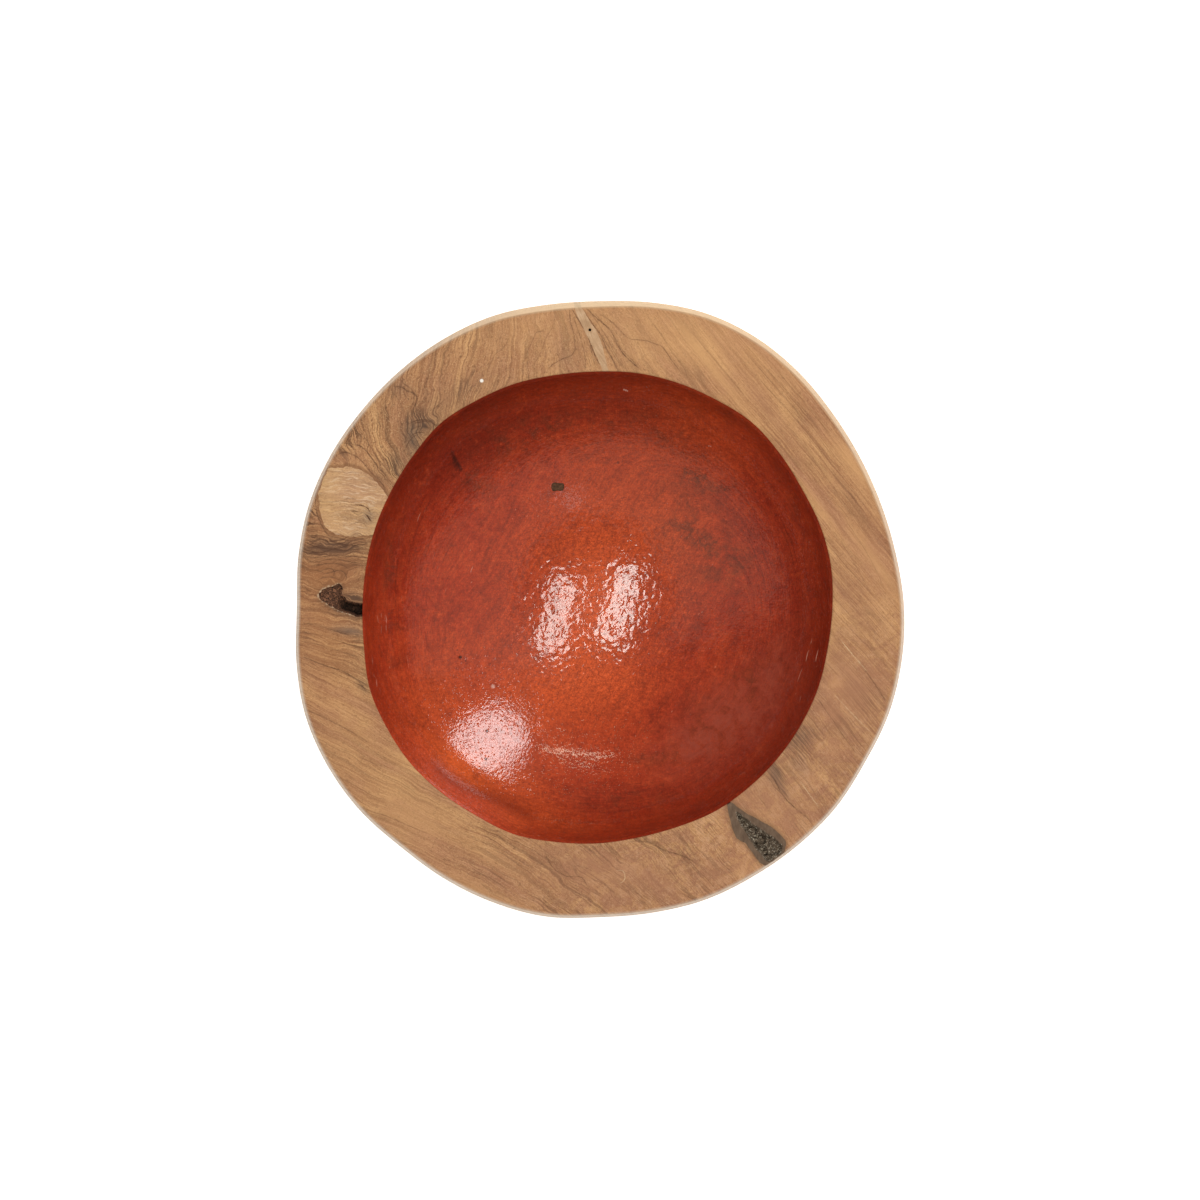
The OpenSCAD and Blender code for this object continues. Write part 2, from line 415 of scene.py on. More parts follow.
# ------------------------------------------------------------------ outlines of the flaws in the rim
KNOT = plan([(327, 467), (340, 466), (351, 465.5), (361, 469), (373, 477), (382, 487), (389, 497),
             (397, 508), (397, 522), (384, 534), (371.6, 536.5), (359, 537), (350, 538.5), (339, 536),
             (330, 533.5), (325, 528), (320, 517), (317.3, 505), (317.2, 493), (321, 481)])
DARK = plan([(318.0, 593.3), (325, 588.8), (334.5, 585.2), (339.4, 582.0), (341.6, 586), (343.0, 594.3),
             (347, 600.5), (352, 602.3), (358, 602), (366, 602.6), (374, 604), (374, 617), (364, 616.8),
             (354.3, 616.6), (348.2, 613.6), (342, 611.5), (335.9, 608.6), (330, 606), (325.2, 602.5),
             (319.6, 598.4)])
FISSURE = plan([(727.5, 801.7), (733.6, 803.3), (738.2, 807.9), (747.4, 814), (759.6, 820.1), (770.3, 826.2),
                (779.5, 833.9), (785.6, 840), (786.4, 844.6), (784.1, 852.3), (774.9, 859.9), (765.7, 866),
                (759.6, 863), (751.9, 852.3), (745.8, 843.1), (736.6, 838.5), (732, 827.8), (729, 815.5),
                (727.3, 808)])
GRAINY = plan([(736.5, 811.0), (743, 817), (754.5, 825.0), (766, 833), (777, 840.5), (783, 846), (781.5, 852),
               (774, 859), (767.5, 862.5), (763, 856), (756, 848.5), (749, 838.5), (742, 826), (737, 816)])
FILLER = np.array([[-14.5, 157], [-12.5, 148], [-11, 144], [-6, 134], [-4, 130], [1, 118.5], [3.5, 110],
                   [6, 110], [4, 118], [1, 130.5], [-1.5, 136.5], [-5, 141.5], [-9.5, 149.5], [-11, 157]])

knot_edge = closed_outline(KNOT, 0.7, 0.9, 41)
dark_edge = closed_outline(DARK, 0.5, 0.8, 42)
fissure_edge = closed_outline(FISSURE, 0.6, 0.35, 43)
grainy_edge = closed_outline(GRAINY, 0.6, 0.5, 44)
filler_edge = closed_outline(FILLER, 0.8, 0.35, 45)
KNOT_MID = (-122.5, 52.0)

body = make_object("wood_block", *block())
knot = copy_of(body, "branch_knot")
strip = copy_of(body, "filler_strip")
cut_knot = prism("cut_knot", knot_edge, H - 44, H + 3, 0.42, KNOT_MID)
cut_strip = prism("cut_strip", filler_edge, H - 26, H + 3)
cut_dark = prism("cut_dark", dark_edge, H - 10.2, H + 3)
cut_bark = prism("cut_bark", fissure_edge, H - 14.2, H + 3)
for cutter in (cut_knot, cut_strip, cut_dark, cut_bark):
    boolean(body, cutter, "DIFFERENCE")
boolean(knot, cut_knot, "INTERSECT")
boolean(strip, cut_strip, "INTERSECT")
pin = closed_outline(polar(0.95, np.arange(0, 360, 24.0), 0.0, (-5.0, 137.5))[:, :2], 0.3)
cut_pin = prism("cut_pin", pin, H - 4, H + 3, 0.7)
boolean(strip, cut_pin, "DIFFERENCE")
drop(cut_knot, cut_strip, cut_dark, cut_bark, cut_pin)
for obj in (body, knot, strip):
    tidy(obj)


def filled_pocket(name, outline, depth, surface, step=0.55):
    """A closed piece that fills a pocket: a rough top face, upright sides, a flat foot."""
    o = np.asarray(outline, dtype=float)
    lo, hi = o.min(axis=0), o.max(axis=0)
    gx, gy = np.meshgrid(np.arange(lo[0], hi[0], step), np.arange(lo[1], hi[1], step * 0.87))
    gx = gx + (np.arange(gx.shape[0]) % 2)[:, None] * step * 0.5
    grid = np.column_stack([gx.ravel(), gy.ravel()])
    q = np.column_stack([grid, np.zeros(len(grid))])
    grid = grid + 0.12 * np.column_stack([value_noise(q * 7.1, 3), value_noise(q * 7.1 + 50, 4)])
    grid = grid[from_outline(grid, o) < -0.35 * step]
    n = len(o)
    pts = [Vector(p) for p in np.vstack([o, grid])]
    edges = [(i, (i + 1) % n) for i in range(n)]
    vs, _, fs, _, _, _ = delaunay_2d_cdt(pts, edges, [list(range(n))], 1, 1e-6)
    flat = np.array([(v.x, v.y) for v in vs])
    top = np.column_stack([flat, surface(flat)])
    # border of the triangulated face, in order, for the sides
    half = {}
    for f in fs:
        for a, b in zip(f, list(f[1:]) + [f[0]]):
            half[(a, b)] = True
    rim_edges = [(a, b) for (a, b) in half if (b, a) not in half]
    k = len(top)
    verts = np.vstack([top, np.column_stack([flat, np.full(k, H - depth)])])
    faces = [tuple(f) for f in fs]
    faces += [(b, a, a + k, b + k) for a, b in rim_edges]
    faces += [tuple(i + k for i in reversed(f)) for f in fs]
    return make_object(name, verts, faces)


def dark_surface(p):
    q = np.column_stack([p, np.zeros(len(p))])
    d = from_outline(p, dark_edge)
    u = (p[:, 0] + 130.0) * 0.93 + (p[:, 1] - 5.0) * -0.37      # along the knot, towards the mouth
    w = (p[:, 0] + 130.0) * 0.37 + (p[:, 1] - 5.0) * 0.93       # across it
    fibre = fbm(np.column_stack([u * 0.28, w * 1.6, np.zeros(len(p))]), 1.0, 3, 61)
    sink = 0.5 + 0.9 * smooth(-d, 0.2, 1.6) + 5.2 * smooth(u, 0.5, 6.0) * smooth(-d, 0.3, 2.2)
    sink += 1.6 * smooth(u, 4.0, 9.0) * smooth(-d, 0.4, 1.6)
    sink += 0.65 * fibre + 0.5 * fbm(q, 1.3, 2, 62)
    return H - np.clip(sink, 0.3, 9.6)


def bark_surface(p):
    q = np.column_stack([p, np.zeros(len(p))])
    d = from_outline(p, grainy_edge)
    deep = smooth(-d, -0.3, 1.4)
    lumps = fbm(q, 2.3, 2, 71) * 1.0 + np.abs(fbm(q, 1.15, 2, 72)) * 1.5 - 0.45
    cracks = 1 - smooth(np.abs(fbm(q + 30, 4.2, 2, 73)), 0.0, 0.16)
    sink = 0.16 + 0.05 * fbm(q, 5, 2, 74) + deep * (1.9 - 0.95 * lumps + 1.4 * cracks)
    return H - np.clip(sink, 0.1, 5.5)


dark_fill = filled_pocket("knot_bark", mouth_push(dark_edge, 0.35), 10.0, dark_surface, 0.5)
bark_fill = filled_pocket("pocket_bark", mouth_push(fissure_edge, 0.35), 14.0, bark_surface, 0.5)
for obj in (dark_fill, bark_fill):
    tidy(obj, 58.0)


# ------------------------------------------------------------------ lacquered lining
CHIP = plan([(550.5, 481.5), (553, 480.2), (558, 480.6), (563, 481.2), (563.4, 484), (562.6, 487.8),
             (559, 489), (556, 488.2), (553.5, 489.2), (551.2, 488.6), (550.2, 485)])
PITS = [(457.6, 658.3, 0.9, 0.9, 0.30)]
# dots in the coat: place, radius in mm, how strong (below zero is dark)
DOTS = [(485.2, 733.2, 0.62, -0.85), (484.1, 761.2, 0.55, -0.85), (488.5, 718.3, 0.40, -0.7), (457.6, 658.3, 0.75, -0.8),
        (463, 662.2, 0.50, -0.6), (454.5, 651, 0.40, -0.6), (618.3, 459.8, 0.75, -0.5), (615.2, 460.8, 0.5, -0.4),
        (450.6, 451.6, 0.90, -0.50), (451.8, 454.6, 1.00, -0.60), (453.2, 457.6, 1.05, -0.65), (454.6, 460.2, 1.05, -0.65),
        (456.2, 462.8, 1.00, -0.65), (457.8, 465.4, 0.90, -0.60), (459.2, 468.0, 0.85, -0.50), (451.8, 461.4, 0.85, -0.45),
        (453.2, 464.6, 0.80, -0.45), (455.0, 467.6, 0.80, -0.35),
        (490.8, 688.2, 0.85, 0.55), (624.2, 388.0, 0.40, 0.5), (626.0, 388.6, 0.45, 0.5), (627.6, 389.2, 0.35, 0.45),
        (710.4, 444.0, 0.28, 0.3), (712.2, 444.3, 0.28, 0.3)]
CREASE = curve_through(plan([(424, 752), (429, 761), (440, 773), (456, 785), (475, 794), (495, 802), (513, 810),
                             (528, 819), (540, 830)]), 1.2)


GOUGE = curve_through(plan([(500, 745.5), (539, 749.6), (577, 754), (614, 758), (640, 760.5)]), 1.0)


def lining_mesh():
    m = 540
    deg = np.arange(m) * 360.0 / m
    back = np.concatenate([np.linspace(0.05, BEND, 12), np.linspace(BEND, LEAN, 9)[1:]])
    rings = [hollow(p, deg) for p in back]
    mouth = around(MOUTH, deg)
    rings.append(polar(mouth - 0.28, deg, H - LIP - 0.34, MID))
    rings.append(polar(mouth - 0.62, deg, H - LIP - 0.82, MID))
    rings.append(polar(mouth - 0.98, deg, H - LIP - 1.40, MID))
    lead = len(rings)
    arc_wall, arc_floor = TURN * (LEAN - BEND), FLOOR * BEND
    front = np.concatenate([np.linspace(LEAN, BEND, 34), np.linspace(BEND, 0.0, 94)[1:-1]])
    front = front[front < LEAN - 0.03]
    rings += [hollow(p, deg, COAT) for p in front]
    verts, faces = loft(rings, tuple(hollow(0.0, 0.0)), tuple(hollow(0.0, 0.0, COAT)))
    # the coat follows the carving: long facets, brush ridges, orange peel, dents
    first = 1 + lead * m
    v = verts[first:]
    p = np.concatenate([np.repeat(front, m), [0.0]])
    d = v[:, :2] - MID
    r = np.hypot(d[:, 0], d[:, 1])
    a = np.degrees(np.arctan2(d[:, 1], d[:, 0]))
    flat = np.column_stack([v[:, :2], np.zeros(len(v))])
    lift = 0.22 * fbm(flat, 36, 2, 81) + 0.06 * fbm(flat, 13, 2, 82) + 0.026 * fbm(flat, 4.8, 2, 83)
    lift += 0.010 * fbm(flat, 2.4, 2, 84) + 0.020 * fbm(flat, 4.2, 1, 85) * smooth(-r, -60, -34)
    # a crease left by the gouge under the rim at the lower left, with a flatter band outside it
    off, along, total = to_curve(v[:, :2], CREASE)
    ends = smooth(along, 0.0, 14.0) * smooth(total - along, 0.0, 10.0)
    lift += ends * (-0.07 * np.exp(-(off / 2.6) ** 2) + 0.09 * np.exp(-((off + 6.0) / 3.6) ** 2))
    # and a shallow run of the same gouge along the foot of the wall
    off, along, total = to_curve(v[:, :2], GOUGE)
    ends = smooth(along, 0.0, 18.0) * smooth(total - along, 0.0, 14.0)
    lift -= 0.15 * ends * np.exp(-(off / 4.5) ** 2)
    for u, w, rx, ry, deep in PITS:
        c = plan([(u, w)])[0]
        q = ((v[:, 0] - c[0]) / rx) ** 2 + ((v[:, 1] - c[1]) / ry) ** 2
        lift -= deep * np.exp(-q)
    lift *= smooth(LEAN - p, 0.0, 0.06)
    lift = np.maximum(lift, -0.62)
    out = np.column_stack([-np.sin(p) * np.cos(np.radians(a)), -np.sin(p) * np.sin(np.radians(a)), np.cos(p)])
    verts[first:] = v + out * lift[:, None]
    return verts, faces


lining = make_object("lacquer_coat", *lining_mesh())
cut_chip = prism("cut_chip", closed_outline(CHIP, 0.35, 0.25, 46), 20, 70)
boolean(lining, cut_chip, "DIFFERENCE")
drop(cut_chip)
tidy(lining, 50.0)


# ------------------------------------------------------------------ run of the grain
# Bearing round the rim, and the direction of the growth lines there, in degrees.
RUN = [(0, -54), (12, -56), (25, -54), (40, -50), (55, -53), (70, -57), (80, -60), (88, -64), (96, -74),
       (105, -88), (115, -100), (125, -97), (134, -84), (143, -68), (150, -50), (157, -22), (164, -2), (172, 0),
       (180, -5), (190, -15), (200, -22), (210, -28), (225, -22), (240, -25), (255, -32), (270, -34),
       (285, -38), (300, -48), (315, -55), (330, -55), (345, -54)]
RING = 134.0


def grain_tables():
    at = np.array([r[0] for r in RUN], dtype=float)
    run = np.array([r[1] for r in RUN], dtype=float)
    deg = np.arange(0, 360, 0.5)
    turn = np.interp(deg, np.append(at, 360.0), np.append(run, run[0]))
    kernel = np.exp(-(np.arange(-24, 25) * 0.5 / 4.0) ** 2)
    kernel /= kernel.sum()
    turn = np.convolve(np.concatenate([turn[-24:], turn, turn[:24]]), kernel, "valid")
    off = np.radians(deg - turn)
    tables = []
    for slope, rise in ((np.cos(off), np.sin(off)), (-np.sin(off), np.cos(off))):
        plus, minus = slope.clip(min=0).sum(), -slope.clip(max=0).sum()
        k = math.sqrt(minus / plus)
        even = np.where(slope > 0, slope * k, slope / k)
        level = np.concatenate([[0.0], np.cumsum(even)[:-1]]) * RING * math.radians(0.5)
        tables.append((level, rise))
    return tables


TABLES = grain_tables()


CALM = np.array([1, 1, 1, 1, 1, 1, 0.95, 0.7, 0.45, 0.35, 0.4, 0.42, 0.36, 0.15, 0, 0, 0, 0,
                 0.05, 0.45, 0.6, 0.65, 0.6, 0.55, 0.45, 0.4, 0.35, 0.4, 0.45, 0.5, 0.55, 0.6, 0.7, 0.8, 0.9, 1])


def calmness(deg):
    return np.clip(around(CALM, deg), 0.0, 1.0)


def grain(v):
    """Across-grain and along-grain distance at each point, in mm, and the depth under the rim."""
    d = v[:, :2]
    r = np.hypot(d[:, 0], d[:, 1])
    a = np.degrees(np.arctan2(d[:, 1], d[:, 0]))
    depth = H - v[:, 2]
    out = []
    for k, (level, rise) in enumerate(TABLES):
        ring = around(level, a) + (r - RING) * around(rise, a)
        # under the foot the lines run straight across
        run = math.radians(-50.0)
        axis = (-math.sin(run), math.cos(run)) if k == 0 else (math.cos(run), math.sin(run))
        straight = d @ np.array(axis)
        w = smooth(r, 45, 95)
        out.append(straight * (1 - w) + ring * w)
    turn = np.radians(a)
    g = out[0] + depth * (0.16 + 0.13 * np.sin(turn * 2 + 0.7) + 0.08 * np.sin(turn * 3 + 2.1))
    along = out[1] + depth * 0.75
    q = np.column_stack([d, 0.6 * depth])
    swirl = 2.2 * fbm(q, 17, 2, 91) + 0.9 * fbm(q, 6, 2, 92)
    extra = np.zeros(len(v))
    for u, w, size, amount in ((335, 572, 13, 3.0), (420, 425, 13, 3.2), (572, 868, 13, 2.2), (640, 860, 14, 1.6),
                               (350, 448, 12, 1.4), (560, 340, 14, 1.2)):
        c = plan([(u, w)])[0]
        extra += amount * np.exp(-((d[:, 0] - c[0]) ** 2 + (d[:, 1] - c[1]) ** 2) / size ** 2)
    g = g + swirl * (1 - 0.75 * calmness(a)) + extra * fbm(q, 7.5, 2, 93) * 1.6
    return np.column_stack([g, along, depth])


# ------------------------------------------------------------------ drawn lines of the rim
# Each: strength (below zero is a pale line), half width in mm, and the points it runs through.
LINES = [
    # about the filled crack
    (0.75, 0.35, [(571.1, 307.6), (578, 319.1), (587.1, 334.4), (593.3, 351.2), (600.9, 368.1)]),
    (0.60, 0.30, [(569.5, 308.4), (570.3, 320.6), (574.1, 335.9), (574.9, 348.2), (571.8, 355.1), (564.2, 358.1),
                  (558.1, 361.2), (550.4, 366.5), (545.8, 372.7)]),
    (0.45, 0.28, [(571.8, 313), (578, 329.8), (581.8, 342), (584.9, 355.8), (585.6, 370.4)]),
    (0.60, 0.30, [(581.8, 307.6), (590.2, 320.6), (600.9, 335.9), (607, 349.7), (613.2, 360.4), (617.8, 371.1)]),
    (0.70, 0.35, [(585.6, 307.6), (597.9, 319.1), (610.1, 329.8), (616.2, 342), (622.4, 352.8), (631.5, 361.9),
                  (642.3, 371.1)]),
    (0.40, 0.25, [(590.2, 320.6), (600.9, 334.4), (608.6, 346.6), (616.2, 358.9), (622.4, 366.5), (626.9, 371.1)]),
    (0.50, 0.30, [(597.9, 313), (610.1, 320.6), (617.8, 327.5), (622.4, 332.9), (628.5, 338.2), (636.1, 339.7),
                  (645.3, 340.5), (654.5, 343.6), (662.2, 346.6), (666.7, 352.8), (672.9, 361.9), (682, 374.2)]),
    (0.30, 0.30, [(645.3, 313), (653, 323.7), (662.2, 335.9), (671.3, 351.2), (683.6, 368.1), (688.2, 380.3)]),
    (0.40, 0.30, [(547.3, 331.3), (536.6, 332.1), (532.8, 340.5), (527.5, 351.2), (524.4, 358.9)]),
    (0.32, 0.30, [(509.1, 339), (503, 348.2), (495.3, 354.3), (489.2, 366.5), (486.1, 375.7)]),
    (0.30, 0.28, [(556, 312), (553, 326), (546, 338), (541, 352), (533, 366)]),
    (0.50, 0.22, [(574, 309), (581, 322), (588.5, 338), (592, 354), (596, 370)]),
    (0.45, 0.22, [(588, 309), (597, 322), (607, 338), (613, 350), (620, 362), (628, 371)]),
    (0.40, 0.22, [(592, 310), (603, 323), (614, 336), (621, 348), (630, 358), (640, 368)]),
    # dark figure at the upper left
    (0.80, 0.45, [(393, 387), (398, 386.6), (403.3, 388), (407.9, 391.8), (412.5, 392.6), (417, 397.1),
                  (414.8, 406.3), (411.7, 413.2)]),
    (0.65, 0.35, [(409.4, 426.2), (415.5, 423.2), (423.2, 421.6), (430.8, 422.4), (437, 425.5), (440.8, 424.7)]),
    (0.42, 0.35, [(447.7, 397.1), (437, 406.3), (427.8, 412.5), (423.2, 420.1)]),
    (0.50, 0.40, [(407.9, 417), (407.9, 427.8), (406.3, 436.9), (403.3, 446.1)]),
    (0.35, 0.30, [(432, 366), (428, 378), (423, 390), (420, 402)]),
    (0.30, 0.30, [(452, 352), (447, 366), (444, 380), (440, 394)]),
    (0.75, 0.34, [(407, 425), (415, 421), (425, 420), (433, 423.4), (438, 430)]),
    (0.65, 0.30, [(409.5, 431), (417, 427), (426, 426.6), (432.5, 431.2)]),
    (0.60, 0.30, [(408, 439), (414.5, 433.6), (423, 432.6), (428.6, 437)]),
    (0.60, 0.30, [(403, 455), (407, 445), (412.4, 437.5), (419, 434)]),
    (0.55, 0.34, [(400, 378), (404, 384), (410, 388), (414.5, 395), (413, 404), (409, 411)]),
    (0.45, 0.30, [(392, 392), (398, 399), (402, 408), (404, 418)]),
    # sweeping round the branch knot
    (0.60, 0.35, [(340.5, 443.1), (351.2, 443.8), (361.9, 446.9), (369.6, 455.3), (375.7, 464.5), (384.9, 475.2),
                  (389.5, 484.4)]),
    (0.65, 0.35, [(334.4, 456.8), (343.6, 452.3), (354.3, 455.3), (361.9, 461.4), (371.1, 472.2), (380.3, 481.3),
                  (388, 493.6)]),
    (0.32, 0.28, [(366.5, 423.2), (372.7, 443.1), (381.8, 455.3), (391, 467.6), (397.1, 475.2)]),
    (0.38, 0.28, [(381.8, 421.6), (388, 440), (392.6, 455.3), (395.6, 467.6), (397.1, 475.2)]),
    (0.38, 0.28, [(357.3, 427.8), (366.5, 440), (375.7, 455.3), (384.9, 467.6), (394.1, 478.3)]),
    (0.70, 0.40, [(316.0, 484), (315.4, 496), (315.8, 507), (318.4, 518), (323.6, 528.6), (329, 535.6), (339, 538.2),
                  (350, 540.6), (359, 539), (371.1, 538.4)]),
    # in the branch knot
    (1.00, 0.50, [(364.8, 513.2), (367.6, 516.6), (371.4, 521.4)]),
    (0.85, 0.30, [(351, 505.2), (357, 504.8), (364, 505.8), (368.5, 509.5), (371, 515)]),
    (0.70, 0.28, [(349, 510.6), (355, 511.2), (361, 512.4)]),
    (0.50, 0.26, [(343, 500), (350, 498.6), (357, 499.4)]),
    (0.30, 0.22, [(320, 506), (328, 505), (337, 506.2)]),
    (0.60, 0.28, [(352, 524.5), (358, 522), (364, 523.5), (366.5, 527.5)]),
    # between the two knots
    (0.85, 0.34, [(329, 541), (340.5, 543.6), (351.2, 545.6), (361.9, 544.6), (371.1, 543.2)]),
    (0.80, 0.34, [(305.3, 542.8), (317.6, 547.3), (329.8, 548.8), (342, 550.4), (351.2, 549.8), (363.5, 549)]),
    (0.62, 0.30, [(303.8, 556.5), (314.5, 557.3), (325.2, 556.5), (335.9, 556), (351.2, 556.4), (366, 558)]),
    (0.72, 0.30, [(309.9, 565.7), (317.6, 565), (326.7, 563.6), (335.9, 563.4), (343.6, 565.7), (351, 570)]),
    (0.72, 0.30, [(313, 569.5), (319.6, 571.3), (326.7, 573.4), (335.9, 570.8), (343.6, 571.8), (346.6, 578),
                  (343.6, 583)]),
    (0.62, 0.28, [(316, 581), (322.1, 578), (329.8, 576.9), (340.5, 580)]),
    (0.80, 0.32, [(304, 549.5), (313, 551.6), (322, 552.4), (333, 549.2), (345, 546.4), (358, 542.4), (369, 540.6)]),
    (0.70, 0.28, [(306, 533), (313, 537.5), (322, 539.5), (332, 543)]),
    (0.62, 0.26, [(304, 561.5), (315, 562.2), (326, 560), (337, 559.6), (350, 562), (360, 563)]),
    (0.62, 0.26, [(318, 574), (323, 570.2), (329.5, 568.4), (334.5, 571.4), (333, 576.2), (326.5, 577.6), (321.5, 575.4)]),
    (0.36, 0.30, [(300.7, 622), (317.6, 625.8), (335.9, 631.1), (354.3, 636.7), (363.5, 639)]),
    (0.36, 0.30, [(299.2, 631.5), (320.6, 635.4), (340.5, 641.5), (363.5, 648.4)]),
    (0.32, 0.28, [(299.2, 640.7), (320.6, 645.3), (340.5, 651.4), (365, 659)]),
    (0.62, 0.34, [(299.2, 656), (306.8, 658.3), (317.6, 662.9), (328.3, 666.7), (339, 669.8), (348.2, 674.1),
                  (355.8, 679), (361.9, 685.1), (366.5, 692)]),
    # lower left
    (0.46, 0.40, [(303, 707), (306.8, 709.9), (320.6, 716), (340.5, 726), (355.8, 734.4), (369.6, 743.6)]),
    (0.30, 0.32, [(335.9, 746.6), (351.2, 752.8), (366.5, 760.4), (381.8, 766.5)]),
    (0.36, 0.35, [(355.8, 803.3), (369.6, 810.9), (384.9, 815.5), (406.3, 824.7), (427.8, 833.9)]),
    (0.28, 0.30, [(440, 858), (462, 865), (486, 876), (508, 889)]),
    (0.26, 0.30, [(470, 838), (492, 846), (516, 858), (536, 870)]),
    # bottom
    (0.50, 0.30, [(544.3, 848.7), (547.3, 858.4), (553.5, 868.3), (561.1, 873.7), (568.8, 876.7), (576.4, 876),
                  (582.6, 878.3), (587.1, 885.9), (589.4, 890.5)]),
    (0.55, 0.45, [(625.4, 843.1), (636.1, 840.8), (646.8, 842.3), (656, 846.1), (665.2, 850.7), (675.9, 853.8),
                  (685.1, 856.8), (692.8, 861.4), (697.4, 865.3)]),
    (0.30, 0.30, [(565.7, 850.3), (571.8, 858.4), (578, 866), (585.6, 867.6), (594, 872)]),
    (-0.50, 0.30, [(616.2, 870.6), (622.4, 870.6), (624.9, 876), (623.9, 881.3), (617.8, 883.6)]),
    (0.50, 0.45, [(681, 892.5), (685.1, 895.1), (694.3, 899.7), (701, 902)]),
    # lower right
    (0.60, 0.40, [(768.8, 770.7), (774.9, 780.3), (779.5, 789.5), (785.6, 798.7), (793.3, 806.3), (802.5, 814),
                  (811.6, 821.6)]),
    (-0.45, 0.28, [(799.4, 780.3), (807, 791), (814.7, 801.7), (819.3, 807.9)]),
    (0.38, 0.32, [(816.2, 695.8), (825.4, 709.9), (833.1, 720.6), (842.3, 734.4), (851.4, 746.6), (857.6, 755.8)]),
    (-0.35, 0.28, [(833.1, 693.1), (848.4, 709.9), (863.7, 725.2), (872.9, 734.4)]),
    (0.28, 0.32, [(756.5, 794.1), (765.7, 806.3), (771.8, 816.6)]),
    (0.48, 0.40, [(857, 659), (868, 674), (878, 689), (887, 703)]),
    (-0.55, 0.30, [(839.2, 637.7), (849.9, 651.4), (860.6, 663.7), (868.3, 672.9)]),
    # upper right
    (0.34, 0.24, [(764, 366), (784, 388), (803, 409), (822, 433)]),
    (0.30, 0.22, [(774, 368), (795, 391), (814, 413), (832, 437)]),
    (0.36, 0.24, [(752, 372), (774, 395), (796, 419), (814, 441)]),
    (0.28, 0.22, [(745, 352), (766, 376), (787, 399), (806, 422)]),
    (0.26, 0.24, [(806, 452), (824, 474), (840, 497), (854, 520)]),
    (0.24, 0.24, [(846, 520), (862, 545), (874, 566), (884, 588)]),
    (0.26, 0.24, [(826, 520), (843, 545), (858, 570), (870, 592)]),
    (0.24, 0.24, [(690, 330), (708, 352), (726, 373), (742, 392)]),
]
